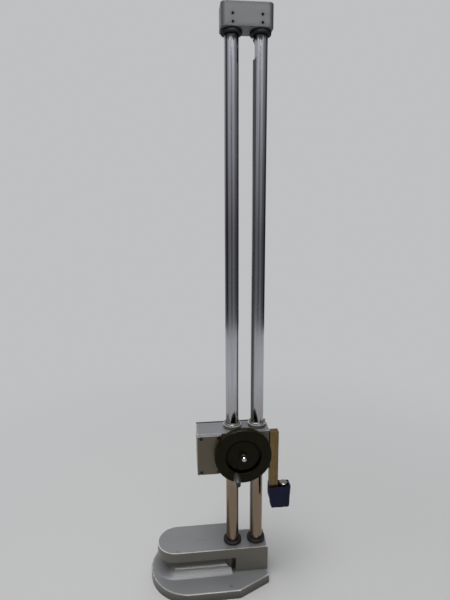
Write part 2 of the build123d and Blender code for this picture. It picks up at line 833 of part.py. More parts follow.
def cover_screws():
    """Slotted cheese-head screws, sunk in the cover."""
    top = cover_rear + cover_screw_sunk
    seat = cover_rear + cover_counterbore
    end = slider_rear + cover_screw_length - cover_screw_end
    width, depth = screw_slot
    reach = cover_screw_head + head_gap
    screws = []
    for x, z in cover_screw_places():
        screw = rod_y(cover_screw_head, x, z, top, seat) + rod_y(cover_screw_radius, x, z, seat, end)
        slot = block(x - width / 2, x + width / 2, top, top + depth, z - reach, z + reach)
        screws.append(screw - slot)
    return screws


# ---- Hand wheel and the arbor it drives ----------------------------------------------------------
def gear_cover():
    wheel_end = Circle(gear_cover_radius())
    arbor_end = Pos(pinion_x - wheel_x, arbor_z - wheel_z) * Circle(gear_cover_radius())
    outline = make_hull(wheel_end.edges() + arbor_end.edges())
    cover = seen_from_rear(outline, wheel_x, wheel_z, gear_cover_rear, slider_rear)
    cover += rod_y(bearing_boss_radius, wheel_x, wheel_z, bearing_rear, gear_cover_rear)
    cover -= rod_y(wheel_shaft_radius + running_gap, wheel_x, wheel_z, bearing_rear, slider_rear)
    cover -= rod_y(arbor_radius + running_gap, pinion_x, arbor_z, slider_rear - pivot_depth, slider_rear)
    for x, z in gear_cover_screw_places():
        cover -= rod_y(gear_screw_radius + screw_gap, x, z, gear_cover_rear, slider_rear)
    return cover


def gear_cover_screws():
    head_top = gear_cover_rear - gear_screw_head_height
    return [
        rod_y(gear_screw_radius, x, z, gear_cover_rear, slider_rear + gear_screw_length)
        + rod_y(gear_screw_head, x, z, head_top, gear_cover_rear)
        for x, z in gear_cover_screw_places()
    ]


def hand_wheel():
    """Moulded wheel: a deep rim, and a dish in front with a flat disc round its centre boss."""
    groove_floor = wheel_front + dish_depth
    hub_back = wheel_back + wheel_hub_step
    web_back = wheel_back - wheel_web_step
    rim_inside = wheel_radius - wheel_rim_width
    bore = wheel_shaft_radius + seat_gap
    wheel = turned_y(
        [
            (bore, hub_back),
            (wheel_hub_radius, hub_back),
            (wheel_hub_radius, web_back),
            (rim_inside - wheel_rim_slope, web_back),
            (rim_inside, wheel_back),
            (wheel_radius, wheel_back),
            (wheel_radius, wheel_front),
            (dish_radius, wheel_front),
            (dish_radius - wheel_draft, groove_floor),
            (disc_radius, groove_floor),
            (disc_radius - wheel_draft, disc_face),
            (wheel_boss_radius + wheel_draft, disc_face),
            (wheel_boss_radius, boss_face),
            (bore, boss_face),
        ],
        wheel_x,
        wheel_z,
    )
    circles = wheel.edges().filter_by(GeomType.CIRCLE)
    wheel = fillet(circles.filter_by(lambda e: e.radius > wheel_radius - seam), wheel_round)
    circles = wheel.edges().filter_by(GeomType.CIRCLE)
    wheel = fillet(circles.filter_by(lambda e: abs(e.radius - dish_radius) < seat_gap), dish_lip)
    return wheel - rod_y(handle_pin_radius + seat_gap, handle_x, handle_z, wheel_front, wheel_back)


def wheel_collar():
    collar = rod_y(collar_radius, wheel_x, wheel_z, nut_back, boss_face)
    collar = chamfer(collar.faces().sort_by(Axis.Y)[0].edges(), collar_edge)
    return collar - rod_y(wheel_thread_radius + seat_gap, wheel_x, wheel_z, nut_back, boss_face)


def dome_nut():
    """Cap nut with a half-round crown, solid over the end of the thread."""
    crown_start = nut_front + dome_radius
    crown_floor = nut_front + dome_crown
    crown_mid = dome_radius * sqrt(0.5)
    inner = wheel_thread_radius + seat_gap
    profile = make_face(
        Polyline(
            (0, crown_floor),
            (inner, crown_floor),
            (inner, nut_back),
            (dome_radius, nut_back),
            (dome_radius, crown_start),
        )
        + ThreePointArc((dome_radius, crown_start), (crown_mid, crown_start - crown_mid), (0, nut_front))
        + Line((0, nut_front), (0, crown_floor))
    )
    return Pos(wheel_x, 0, wheel_z) * revolve(profile, Axis.Y)


def wheel_shaft():
    thread_end = nut_front + dome_crown + thread_end_gap
    gear_end = gear_zone_front + shaft_stub
    shaft = rod_y(wheel_shaft_radius, wheel_x, wheel_z, boss_face, gear_zone_rear)
    shaft += rod_y(wheel_thread_radius, wheel_x, wheel_z, thread_end, boss_face)
    return shaft + rod_y(wheel_thread_radius, wheel_x, wheel_z, gear_zone_rear, gear_end)


def wheel_gear():
    angle = direction(pinion_x, arbor_z, wheel_x, wheel_z)
    face = gear_face(wheel_gear_teeth, wheel_module, meshing_tooth(angle, wheel_gear_teeth))
    gear = seen_from_rear(face, wheel_x, wheel_z, gear_zone_rear, gear_zone_front)
    return gear - rod_y(wheel_thread_radius + seat_gap, wheel_x, wheel_z, gear_zone_rear, gear_zone_front)


def handle_pin():
    rivet_back = handle_end - air_gap
    pin = rod_y(handle_pin_radius, handle_x, handle_z, rivet_back, wheel_back - handle_pin_back)
    rivet = rod_y(handle_rivet_radius, handle_x, handle_z, rivet_back - handle_rivet_length, rivet_back)
    return pin + fillet(rivet.faces().sort_by(Axis.Y)[0].edges(), handle_rivet_edge)


def crank_handle():
    """Turned grip that spins on its pin, widest a little past the middle."""
    belly = handle_root - handle_length * handle_belly_place
    bore = handle_pin_radius + running_gap
    outline = Spline(
        (handle_root_radius, handle_root),
        (handle_belly_radius, belly),
        (handle_end_radius, handle_end),
    )
    inside = Polyline(
        (handle_end_radius, handle_end),
        (bore, handle_end),
        (bore, handle_root),
        (handle_root_radius, handle_root),
    )
    return Pos(handle_x, 0, handle_z) * revolve(make_face(outline + inside), Axis.Y)


def pinion_arbor():
    return rod_y(arbor_radius, pinion_x, arbor_z, slider_rear - pivot_depth + pivot_end_gap, plate_front)


def arbor_wheel(teeth, module, first_tooth, y_rear, y_front, addendum=1.0):
    """A gear fixed on the pinion arbor."""
    face = gear_face(teeth, module, first_tooth, addendum)
    gear = seen_from_rear(face, pinion_x, arbor_z, y_rear, y_front)
    return gear - rod_y(arbor_radius + seat_gap, pinion_x, arbor_z, y_rear, y_front)


# ---- Dial train ----------------------------------------------------------------------------------
def transfer_gear():
    """Large wheel of the transfer stage, on the same hub as its pinion."""
    angle = direction(transfer_x, transfer_z, dial_x, dial_z)
    face = gear_face(train_wheel_teeth, train_module, angle, train_addendum, 1)
    gear = seen_from_rear(face, transfer_x, transfer_z, transfer_rear, transfer_front)
    return gear - rod_y(stud_radius + running_gap, transfer_x, transfer_z, transfer_rear, transfer_front)


def transfer_pinion():
    angle = direction(pinion_x, arbor_z, transfer_x, transfer_z)
    first = meshing_tooth(angle, train_pinion_teeth)
    face = gear_face(train_pinion_teeth, train_module, first, train_addendum)
    rear = drive_rear - pinion_overhang
    gear = seen_from_rear(face, transfer_x, transfer_z, rear, transfer_rear)
    return gear - rod_y(stud_radius + running_gap, transfer_x, transfer_z, rear, transfer_rear)


def transfer_stud():
    return rod_y(stud_radius, transfer_x, transfer_z, drive_rear - pinion_overhang, plate_front)


def pointer_arbor():
    """Thin arbor of the dial hand, with the last pinion of the train cut on it."""
    angle = direction(transfer_x, transfer_z, dial_x, dial_z)
    first = meshing_tooth(angle, train_pinion_teeth)
    face = gear_face(train_pinion_teeth, train_module, first, train_addendum)
    rear = transfer_rear - pinion_overhang
    pinion = seen_from_rear(face, dial_x, dial_z, rear, transfer_front + pinion_overhang)
    tail = train_pocket_floor - pointer_arbor_tail
    return pinion + rod_y(pointer_arbor_radius, dial_x, dial_z, tail, face_rear + pointer_arbor_end)


def dial_pointer():
    """Tapered hand pointing up, with a round boss and a short tail."""
    tip, middle, tail = pointer_half_widths
    rear = face_front + pointer_rise
    boss_rear = rear - pointer_thickness
    hand = make_face(
        Polyline(
            (-middle, 0),
            (-tail, -pointer_tail),
            (tail, -pointer_tail),
            (middle, 0),
            (tip, pointer_length),
            (-tip, pointer_length),
            close=True,
        )
    )
    pointer = seen_from_rear(hand, dial_x, dial_z, rear, rear + pointer_thickness)
    pointer += rod_y(pointer_boss, dial_x, dial_z, boss_rear, boss_rear + pointer_boss_height)
    bore = rod_y(pointer_arbor_radius + seat_gap, dial_x, dial_z, boss_rear, face_rear + pointer_arbor_end)
    return pointer - bore


def movement_plate():
    corners = plate_screw_places()
    arbor_corner = (pinion_x + plate_arbor_corner[0], arbor_z + plate_arbor_corner[1])
    path = [corners[0], corners[1], arbor_corner, corners[2]]
    outline = offset(make_face(Polyline(*path, close=True)), plate_border)
    plate = seen_from_rear(outline, 0, 0, plate_rear, plate_front)
    plate -= rod_y(arbor_radius + running_gap, pinion_x, arbor_z, plate_rear, plate_front)
    plate -= rod_y(stud_radius + seat_gap, transfer_x, transfer_z, plate_rear, plate_front)
    plate -= rod_y(pointer_arbor_radius + running_gap, dial_x, dial_z, plate_rear, plate_front)
    for x, z in corners:
        plate -= rod_y(plate_screw_radius + screw_gap, x, z, plate_rear, plate_front)
    return plate


def movement_pillars():
    return [
        rod_y(pillar_radius, x, z, slider_front, plate_rear)
        - rod_y(plate_screw_radius + screw_gap, x, z, slider_front, plate_rear)
        for x, z in plate_screw_places()
    ]


def movement_screws():
    end = slider_front - plate_screw_depth + pivot_end_gap
    head_top = plate_front + plate_screw_head_height
    return [
        rod_y(plate_screw_radius, x, z, end, plate_front)
        + rod_y(plate_screw_head, x, z, plate_front, head_top)
        for x, z in plate_screw_places()
    ]


# ---- Front panel and dial ------------------------------------------------------------------------
def counter_frame_box(margin=0.0):
    """Outer corners of the counters' frame, in X and Z."""
    drums = drum_count * drum_width + (drum_count - 1) * drum_gap
    x0 = drum_start_x - drum_gap - frame_wall
    x1 = drum_start_x + drums + drum_gap + frame_wall
    z0 = slider_bottom + frame_bottom_height
    z1 = slider_bottom + frame_top_height
    return x0 - margin, x1 + margin, z0 - margin, z1 + margin


def front_panel():
    """Shallow black tray over the whole reading side of the slider."""
    panel = block(slider_left, slider_right, slider_front, panel_front, slider_bottom, slider_top)
    panel = fillet(panel.faces().sort_by(Axis.Y)[-1].edges(), panel_edge)
    panel -= block(
        slider_left + panel_wall,
        slider_right - panel_wall,
        slider_front,
        panel_inner,
        slider_bottom + panel_wall,
        slider_top - panel_wall,
    )
    for x, z in panel_screw_places():
        panel += rod_y(panel_screw_radius + panel_screw_boss, x, z, slider_front, panel_inner)
        panel -= rod_y(panel_screw_radius + screw_gap, x, z, slider_front, panel_front)
    panel -= rod_y(pointer_arbor_radius + pointer_arbor_room, dial_x, dial_z, panel_inner, panel_front)
    for x, z in case_screw_places():
        panel -= rod_y(case_screw_radius + seat_gap, x, z, panel_inner, panel_front)
    x0, x1, z0, z1 = counter_frame_box(frame_gap)
    panel -= block(x0, x1, panel_inner, panel_front, z0, z1)
    z = slider_bottom + button_height
    for offset_x in buttons_from_rack_column.values():
        panel -= rod_y(button_radius + button_gap, right_x + offset_x, z, panel_inner, panel_front)
    return panel


def panel_screws():
    end = slider_front - panel_screw_depth + pivot_end_gap
    head_top = panel_front + panel_screw_head_height
    screws = []
    for x, z in panel_screw_places():
        head = rod_y(panel_screw_head, x, z, panel_front, head_top)
        head = chamfer(head.faces().sort_by(Axis.Y)[-1].edges(), panel_screw_edge)
        screws.append(rod_y(panel_screw_radius, x, z, end, panel_front) + head)
    return screws


def case_screw_places():
    return [
        (dial_x + case_screw_reach * cos(angle), dial_z + case_screw_reach * sin(angle))
        for angle in (radians(90), radians(210), radians(330))
    ]


def dial_case():
    floor = panel_front + case_floor
    case = rod_y(case_radius, dial_x, dial_z, panel_front, case_front)
    case -= rod_y(case_radius - case_wall, dial_x, dial_z, floor, case_front)
    case -= rod_y(pointer_arbor_radius + pointer_arbor_room, dial_x, dial_z, panel_front, case_front)
    for x, z in case_screw_places():
        case -= rod_y(case_screw_radius + screw_gap, x, z, panel_front, case_front)
    return case


def case_screws():
    floor = panel_front + case_floor
    return [
        rod_y(case_screw_radius, x, z, panel_inner + pivot_end_gap, floor)
        + rod_y(case_screw_head, x, z, floor, floor + case_screw_head_height)
        for x, z in case_screw_places()
    ]


def bezel_ring():
    """Ring that turns on the case's outside. Its sleeve holds the dial face, and its ledge the crystal."""
    skirt_bore = case_radius + bezel_gap
    sleeve_rear = case_front + air_gap
    return turned_y(
        [
            (skirt_bore, bezel_rear),
            (bezel_radius, bezel_rear),
            (bezel_radius, bezel_front - bezel_chamfer),
            (bezel_radius - bezel_chamfer, bezel_front),
            (crystal_radius + seat_gap, bezel_front - bezel_lip),
            (crystal_radius + seat_gap, crystal_rear),
            (bezel_opening, crystal_rear),
            (bezel_opening, face_front),
            (bezel_sleeve_radius, face_front),
            (bezel_sleeve_radius, sleeve_rear),
            (skirt_bore, sleeve_rear),
        ],
        dial_x,
        dial_z,
    )


def dial_face():
    face = rod_y(bezel_sleeve_radius, dial_x, dial_z, face_rear, face_front)
    return face - rod_y(pointer_arbor_radius + pointer_arbor_room, dial_x, dial_z, face_rear, face_front)


def dial_crystal():
    return rod_y(crystal_radius, dial_x, dial_z, crystal_rear, crystal_rear + crystal_thickness)


# ---- Counters ------------------------------------------------------------------------------------
def drum_left(index):
    return drum_start_x + index * (drum_width + drum_gap)


def window_box(height, margin):
    x1 = drum_left(drum_count - 1) + drum_width
    z = slider_bottom + height
    half = window_height / 2 + margin
    return drum_start_x - margin, x1 + margin, z - half, z + half


def counter_frame():
    """Frame of both counters: it carries the drums' shafts and shows one row of digits in each window."""
    x0, x1, z0, z1 = counter_frame_box()
    frame = block(x0, x1, frame_rear, frame_front, z0, z1)
    frame = fillet(frame.faces().sort_by(Axis.Y)[-1].edges(), frame_edge)
    inner_front = frame_front - frame_face
    frame -= block(
        x0 + frame_wall, x1 - frame_wall, frame_rear, inner_front, z0 + frame_wall, z1 - frame_wall
    )
    for height in counter_heights.values():
        a, b, c, d = window_box(height, 0)
        frame -= block(a, b, frame_rear, frame_front, c, d)
        a, b, c, d = window_box(height, window_rim)
        frame -= block(a, b, frame_front - window_thickness, frame_front, c, d)
        frame -= rod_x(drum_shaft_radius + seat_gap, drum_y, slider_bottom + height, x0, x1)
    return frame


def counter_window(height):
    x0, x1, z0, z1 = window_box(height, window_rim - seat_gap)
    return block(x0, x1, frame_front - window_thickness, frame_front, z0, z1)


def counter_drum(height, index):
    x0 = drum_left(index)
    z = slider_bottom + height
    drum = chamfer(rod_x(drum_radius, drum_y, z, x0, x0 + drum_width).edges(), drum_edge)
    return drum - rod_x(drum_shaft_radius + running_gap, drum_y, z, x0, x0 + drum_width)


def counter_shaft(height):
    x0, x1, _, _ = counter_frame_box()
    return rod_x(drum_shaft_radius, drum_y, slider_bottom + height, x0, x1)


def reset_button(x):
    z = slider_bottom + button_height
    flange_front = panel_inner - button_flange_gap
    button = rod_y(button_radius, x, z, flange_front, panel_front + button_stand_out)
    button = fillet(button.faces().sort_by(Axis.Y)[-1].edges(), button_edge)
    return button + rod_y(button_flange_radius, x, z, flange_front - button_flange, flange_front)


# ---- Slide lock ----------------------------------------------------------------------------------
def lock_pad_span():
    start = right_x + column_radius + lock_pad_gap
    return start, start + lock_pad_length


def lock_pad():
    x0, x1 = lock_pad_span()
    return rod_x(lock_screw_radius, 0, slider_bottom + lock_height, x0, x1)


def lock_screw():
    knob_start = slider_right + lock_knob_gap
    _, pad_end = lock_pad_span()
    z = slider_bottom + lock_height
    return rod_x(lock_screw_radius, 0, z, pad_end + lock_screw_back, knob_start + lock_knob_length / 2)


def lock_knob():
    start = slider_right + lock_knob_gap
    z = slider_bottom + lock_height
    end = start + lock_knob_length
    knob = rod_x(lock_knob_radius, 0, z, start, end)
    reach = lock_knob_radius + lock_flute_reach
    for flute in range(lock_flutes):
        angle = 2 * pi * flute / lock_flutes
        knob -= rod_x(lock_flute_radius, reach * cos(angle), z + reach * sin(angle), start, end)
    return knob - rod_x(lock_screw_radius + seat_gap, 0, z, start, start + lock_knob_length / 2)


# ---- Scriber arm and clamp -----------------------------------------------------------------------
def scriber_arm():
    """Upright bar screwed to the slider's side, ending in a foot that carries the scriber."""
    top = slider_top - arm_top_step
    bar = block(slider_right, arm_right, arm_rear, arm_front, foot_bottom, top)
    bar += block(arm_right, foot_right, arm_rear, arm_front, foot_bottom, foot_top)
    inner_corner = bar.edges().filter_by(Axis.Y).filter_by(
        lambda e: abs(e.center().X - arm_right) < seam and abs(e.center().Z - foot_top) < seam
    )
    bar = fillet(inner_corner, foot_fillet)
    seat = arm_right - arm_screw_head_height - arm_screw_sunk
    for height in arm_screw_heights:
        z = slider_bottom + height
        bar -= rod_x(arm_screw_radius + screw_gap, arm_screw_y, z, slider_right, arm_right)
        bar -= rod_x(arm_screw_head_radius + head_gap, arm_screw_y, z, seat, arm_right)
    return bar


def arm_screws():
    """Socket-head screws, sunk in the arm."""
    seat = arm_right - arm_screw_head_height - arm_screw_sunk
    top = seat + arm_screw_head_height
    key_depth = arm_screw_head_height * key_share
    screws = []
    for height in arm_screw_heights:
        z = slider_bottom + height
        end = slider_right - arm_screw_length
        screw = rod_x(arm_screw_radius, arm_screw_y, z, end, seat)
        screw += rod_x(arm_screw_head_radius, arm_screw_y, z, seat, top)
        key = Pos(top - key_depth, arm_screw_y, z) * Rot(Y=90)
        key *= extrude(RegularPolygon(arm_screw_key, 6), amount=key_depth)
        screws.append(screw - key)
    return screws


def scriber():
    half = scriber_size / 2
    y0 = foot_mid_y - half
    y1 = foot_mid_y + half
    left = scriber_right - scriber_shank - scriber_stand_out
    shank = block(left, scriber_right, y0, y1, scriber_bottom, foot_bottom)
    tip_left = scriber_right - scriber_tip_width
    return shank + block(tip_left, scriber_right, y0, y1, scriber_bottom - scriber_tip_drop, foot_bottom)


def scriber_clamp():
    """Square loop round the foot and the scriber, drawn up by the clamp screw on top."""
    opening_top = foot_top + clamp_room
    rear = arm_rear - clamp_side
    front = arm_front + clamp_side
    clamp = block(clamp_left, clamp_right, rear, front, scriber_bottom - clamp_bar, clamp_top)
    clamp = fillet(clamp.edges().filter_by(Axis.X), clamp_edge)
    clamp -= block(
        clamp_left,
        clamp_right,
        arm_rear - clamp_side_gap,
        arm_front + clamp_side_gap,
        scriber_bottom,
        opening_top,
    )
    return clamp - rod_z(clamp_screw_radius + running_gap, clamp_x, foot_mid_y, opening_top, clamp_top)


def clamp_screw():
    bottom = clamp_top + air_gap
    head = rod_z(clamp_head_radius, clamp_x, foot_mid_y, bottom, bottom + clamp_head_height)
    head = chamfer(head.edges(), clamp_head_edge)
    return head + rod_z(clamp_screw_radius, clamp_x, foot_mid_y, foot_top + clamp_screw_point, bottom)


def tape_wrap():
    """Protective tape wound round the foot, the scriber and the clamp, open above and below."""
    left = slider_right - wrap_thickness
    right = scriber_right + wrap_past_scriber
    margin = clamp_side + wrap_room + wrap_thickness
    rear = arm_rear - margin
    front = arm_front + margin
    width = right - left
    depth = front - rear
    inset = 2 * wrap_thickness
    bottom = scriber_bottom - wrap_below_scriber
    outer = RectangleRounded(width, depth, wrap_corner)
    inner = RectangleRounded(width - inset, depth - inset, wrap_corner - wrap_thickness)
    place = Pos((left + right) / 2, (rear + front) / 2, bottom)
    return place * extrude(outer - inner, amount=clamp_top + wrap_past_clamp - bottom)


# ---- Assembly ------------------------------------------------------------------------------------
def build():
    to_wheel = direction(pinion_x, arbor_z, wheel_x, wheel_z)
    to_transfer = direction(pinion_x, arbor_z, transfer_x, transfer_z)
    parts["base_casting"] = base_casting()
    parts["column_bolts"] = column_bolts()
    parts["plain_column"] = plain_column(left_x)
    parts["rack_column"] = rack_column()
    parts["rack_strip"] = rack_strip()
    parts["top_bracket"] = top_bracket()
    parts["bracket_set_screws"] = bracket_set_screws()
    columns = (left_x, right_x)
    parts["foot_rings"] = [column_ring(x, base_height) for x in columns]
    parts["head_rings"] = [column_ring(x, bracket_bottom - ring_height) for x in columns]
    parts["lower_bushes"] = [guide_bush(x, slider_bottom - bush_foot) for x in columns]
    parts["upper_bushes"] = [guide_bush(x, boss_top - bush_length) for x in columns]
    parts["wiper_caps"] = [wiper_cap(x) for x in columns]
    parts["slider_housing"] = slider_housing()
    parts["rear_cover"] = rear_cover()
    parts["cover_screws"] = cover_screws()
    parts["gear_cover"] = gear_cover()
    parts["gear_cover_screws"] = gear_cover_screws()
    parts["hand_wheel"] = hand_wheel()
    parts["wheel_collar"] = wheel_collar()
    parts["dome_nut"] = dome_nut()
    parts["wheel_shaft"] = wheel_shaft()
    parts["wheel_gear"] = wheel_gear()
    parts["handle_pin"] = handle_pin()
    parts["crank_handle"] = crank_handle()
    parts["pinion_arbor"] = pinion_arbor()
    parts["rack_pinion"] = arbor_wheel(pinion_teeth, rack_module, 0, -pinion_width / 2, pinion_width / 2)
    parts["arbor_gear"] = arbor_wheel(
        arbor_gear_teeth, wheel_module, to_wheel, gear_zone_rear, gear_zone_front
    )
    parts["dial_drive_gear"] = arbor_wheel(
        train_wheel_teeth, train_module, to_transfer, drive_rear, drive_front, train_addendum
    )
    parts["transfer_gear"] = transfer_gear()
    parts["transfer_pinion"] = transfer_pinion()
    parts["transfer_stud"] = transfer_stud()
    parts["pointer_arbor"] = pointer_arbor()
    parts["dial_pointer"] = dial_pointer()
    parts["movement_plate"] = movement_plate()
    parts["movement_pillars"] = movement_pillars()
    parts["movement_screws"] = movement_screws()
    parts["front_panel"] = front_panel()
    parts["panel_screws"] = panel_screws()
    parts["dial_case"] = dial_case()
    parts["case_screws"] = case_screws()
    parts["bezel_ring"] = bezel_ring()
    parts["dial_face"] = dial_face()
    parts["dial_crystal"] = dial_crystal()
    parts["counter_frame"] = counter_frame()
    heights = counter_heights.values()
    parts["counter_windows"] = [counter_window(height) for height in heights]
    parts["counter_shafts"] = [counter_shaft(height) for height in heights]
    parts["higher_drums"] = [counter_drum(h, index) for h in heights for index in range(1, drum_count)]
    for name, height in counter_heights.items():
        parts[f"{name}_units_drum"] = counter_drum(height, 0)
        parts[f"{name}_reset_button"] = reset_button(right_x + buttons_from_rack_column[name])
    parts["lock_pad"] = lock_pad()
    parts["lock_screw"] = lock_screw()
    parts["lock_knob"] = lock_knob()
    parts["scriber_arm"] = scriber_arm()
    parts["arm_screws"] = arm_screws()
    parts["scriber"] = scriber()
    parts["scriber_clamp"] = scriber_clamp()
    parts["clamp_screw"] = clamp_screw()
    parts["tape_wrap"] = tape_wrap()


build()
os.makedirs("parts", exist_ok=True)
for name, shape in parts.items():
    solid = Compound(children=shape) if isinstance(shape, list) else shape
    export_step(solid, f"parts/{name}.step")
    print(name)
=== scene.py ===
import math

import bmesh
import bpy
from mathutils import Matrix, Vector, noise


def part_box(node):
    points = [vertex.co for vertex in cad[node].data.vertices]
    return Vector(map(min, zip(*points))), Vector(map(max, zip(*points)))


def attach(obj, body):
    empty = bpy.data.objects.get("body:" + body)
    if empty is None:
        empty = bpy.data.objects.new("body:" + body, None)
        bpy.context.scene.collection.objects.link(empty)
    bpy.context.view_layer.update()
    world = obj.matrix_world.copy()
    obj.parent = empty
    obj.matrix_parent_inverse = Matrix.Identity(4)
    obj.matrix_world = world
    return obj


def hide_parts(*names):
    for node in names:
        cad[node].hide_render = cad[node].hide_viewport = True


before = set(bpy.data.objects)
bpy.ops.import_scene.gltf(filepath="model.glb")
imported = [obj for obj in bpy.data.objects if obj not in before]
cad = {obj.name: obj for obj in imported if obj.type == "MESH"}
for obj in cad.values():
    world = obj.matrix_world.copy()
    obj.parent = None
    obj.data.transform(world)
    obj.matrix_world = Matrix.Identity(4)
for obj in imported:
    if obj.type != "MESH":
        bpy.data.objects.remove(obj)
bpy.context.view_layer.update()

# Camera: it stands on the hand wheel's side, level with the upper columns and
# a little left of them, and looks down at the slider and the base.
camera_place = (-0.08634, -0.56490, 0.52969)
camera_turn, camera_dip, camera_roll = -6.024, 11.329, -0.317  # degrees
camera_data = bpy.data.cameras.new("camera")
camera_data.lens = 26.17  # millimetres
camera = bpy.data.objects.new("camera", camera_data)
camera.matrix_world = (
    Matrix.Translation(camera_place)
    @ Matrix.Rotation(math.radians(camera_turn), 4, "Z")
    @ Matrix.Rotation(math.radians(90 - camera_dip), 4, "X")
    @ Matrix.Rotation(math.radians(camera_roll), 4, "Z")
)
bpy.context.scene.collection.objects.link(camera)
bpy.context.scene.camera = camera
bpy.context.scene.view_settings.view_transform = "Standard"


# Floor: a plain bench top under the gauge, painted in one pale tone with no
# shine. It takes the shadow, and fades into the pale wall around it.
def linear(code):
    """A colour written as sRGB hex, as the linear values a shader takes."""
    parts = [int(code[i:i + 2], 16) / 255 for i in (1, 3, 5)]
    return [c / 12.92 if c <= 0.04045 else ((c + 0.055) / 1.055) ** 2.4 for c in parts] + [1]


def add(tree, kind, links=None, **settings):
    """Adds a shader node. A link is a node, for its first output, or a socket, or a value."""
    node = tree.nodes.new("ShaderNode" + kind)
    for name, value in settings.items():
        setattr(node, name, value)
    for name, source in (links or {}).items():
        if isinstance(source, bpy.types.Node):
            source = source.outputs[0]
        if isinstance(source, bpy.types.NodeSocket):
            tree.links.new(source, node.inputs[name])
        else:
            node.inputs[name].default_value = source
    return node


def new_surface(name):
    """A new material and its node tree, still empty."""
    made = bpy.data.materials.new(name)
    made.use_nodes = True
    made.node_tree.nodes.clear()
    return made, made.node_tree


def new_material(name, **sockets):
    """A material with a Principled shader of those values, its tree, that shader and the place."""
    made, tree = new_surface(name)
    shader = add(tree, "BsdfPrincipled", {key.replace("_", " "): sockets[key] for key in sockets})
    add(tree, "OutputMaterial", {"Surface": shader})
    return made, tree, shader, add(tree, "TexCoord").outputs["Object"]


def new_piece(name, mesh, material, body=None):
    """Closes a bmesh into an object at the origin, with its material and body."""
    bmesh.ops.remove_doubles(mesh, verts=mesh.verts, dist=1e-7)
    bmesh.ops.recalc_face_normals(mesh, faces=mesh.faces)
    data = bpy.data.meshes.new(name)
    mesh.to_mesh(data)
    mesh.free()
    made = bpy.data.objects.new(name, data)
    bpy.context.scene.collection.objects.link(made)
    data.materials.append(material)
    if body:
        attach(made, body)
    return made


def seen_plainly(tree):
    """1 for what the camera, metal or glass sees, and 0 for light that falls on the gauge."""
    ray = add(tree, "LightPath").outputs
    seen = add(tree, "Math", {
        0: ray["Is Camera Ray"], 1: ray["Is Glossy Ray"]}, operation="MAXIMUM")
    return add(tree, "Math", {0: seen, 1: ray["Is Transmission Ray"]}, operation="MAXIMUM")


wall_pale = linear("#BFC0C2")
floor_paint, tree, shader, place = new_material(
    "plain bench paint", Base_Color=linear("#C4C4C3"), Roughness=0.8, Specular_IOR_Level=0.1)
seen = seen_plainly(tree)
away = add(tree, "VectorMath", {0: place}, operation="LENGTH")
fade = add(tree, "MapRange", {
    "Value": away.outputs["Value"], "From Min": 0.10, "From Max": 0.95, "To Min": 0.15},
    interpolation_type="SMOOTHSTEP")
fade = add(tree, "Math", {0: fade, 1: seen}, operation="MULTIPLY")
faded = add(tree, "MixShader", {0: fade, 1: shader, 2: add(tree, "Emission", {"Color": wall_pale})})
tree.links.new(faded.outputs[0], tree.nodes["Material Output"].inputs["Surface"])
mesh = bmesh.new()
bmesh.ops.create_grid(mesh, x_segments=2, y_segments=2, size=3.0)
floor = new_piece("floor", mesh, floor_paint)

# Room: a plain pale wall all round, which metal and glass show as the camera
# does. Its light on the gauge is a little lower.
room = bpy.data.worlds.new("room")
bpy.context.scene.world = room
room.use_nodes = True
tree = room.node_tree
tree.nodes.clear()
colour = add(tree, "MixRGB", {
    "Fac": seen_plainly(tree), "Color1": linear("#8E8F91"), "Color2": wall_pale})
add(tree, "OutputWorld", {"Surface": add(tree, "Background", {"Color": colour})})


# Studio screen: a tall round screen with dark and pale strips, out of the
# camera's sight, that only the metal's reflections show. Ground columns need it for
# their bands. It is dim at bench height and brighter towards the ceiling.
def reflection_only(name, mesh, paint):
    """A piece of the studio that shows in reflections and nowhere else."""
    made = new_piece(name, mesh, paint)
    made.visible_camera = made.visible_diffuse = made.visible_shadow = False
    made.visible_transmission = False
    return made


screen_paint, tree = new_surface("screen strips")
axes = add(tree, "SeparateXYZ", {0: add(tree, "TexCoord").outputs["Object"]}).outputs
bearing = add(tree, "Math", {0: axes["X"], 1: axes["Y"]}, operation="ARCTAN2")
share = add(tree, "MapRange", {"Value": bearing, "From Min": -math.pi, "From Max": math.pi})
strips = add(tree, "ValToRGB", {"Fac": share})
# Each stop is a share of the way round and its brightness.
stops = [(0.0, 0.45), (0.03, 0.45), (0.048, 0.45), (0.062, 1.0), (0.17, 0.9), (0.205, 0.14),
         (0.30, 0.12), (0.345, 1.0), (0.50, 1.1), (0.58, 0.8), (0.63, 0.10), (0.74, 0.12),
         (0.80, 0.42), (0.865, 0.45), (0.90, 0.95), (0.975, 1.0), (0.99, 0.45), (1.0, 0.45)]
daylight = 1.06  # the screen is a trace blue
ramp = strips.color_ramp
while len(ramp.elements) < len(stops):
    ramp.elements.new(0.5)
for element, (position, level) in zip(ramp.elements, stops):
    element.position = position
    element.color = (level, level, level * daylight, 1)
rise = add(tree, "MapRange", {
    "Value": axes["Z"], "From Min": 0.45, "From Max": 1.25, "To Min": 0.17, "To Max": 0.62})
glow = add(tree, "Emission", {"Color": strips, "Strength": rise})
add(tree, "OutputMaterial", {"Surface": glow})
screen_radius, screen_height = 1.4, 1.6
mesh = bmesh.new()
bmesh.ops.create_circle(mesh, radius=screen_radius, segments=96)
wall = bmesh.ops.extrude_edge_only(mesh, edges=mesh.edges)["geom"]
bmesh.ops.translate(
    mesh, vec=(0, 0, screen_height), verts=[v for v in wall if isinstance(v, bmesh.types.BMVert)])
screen = reflection_only("screen", mesh, screen_paint)

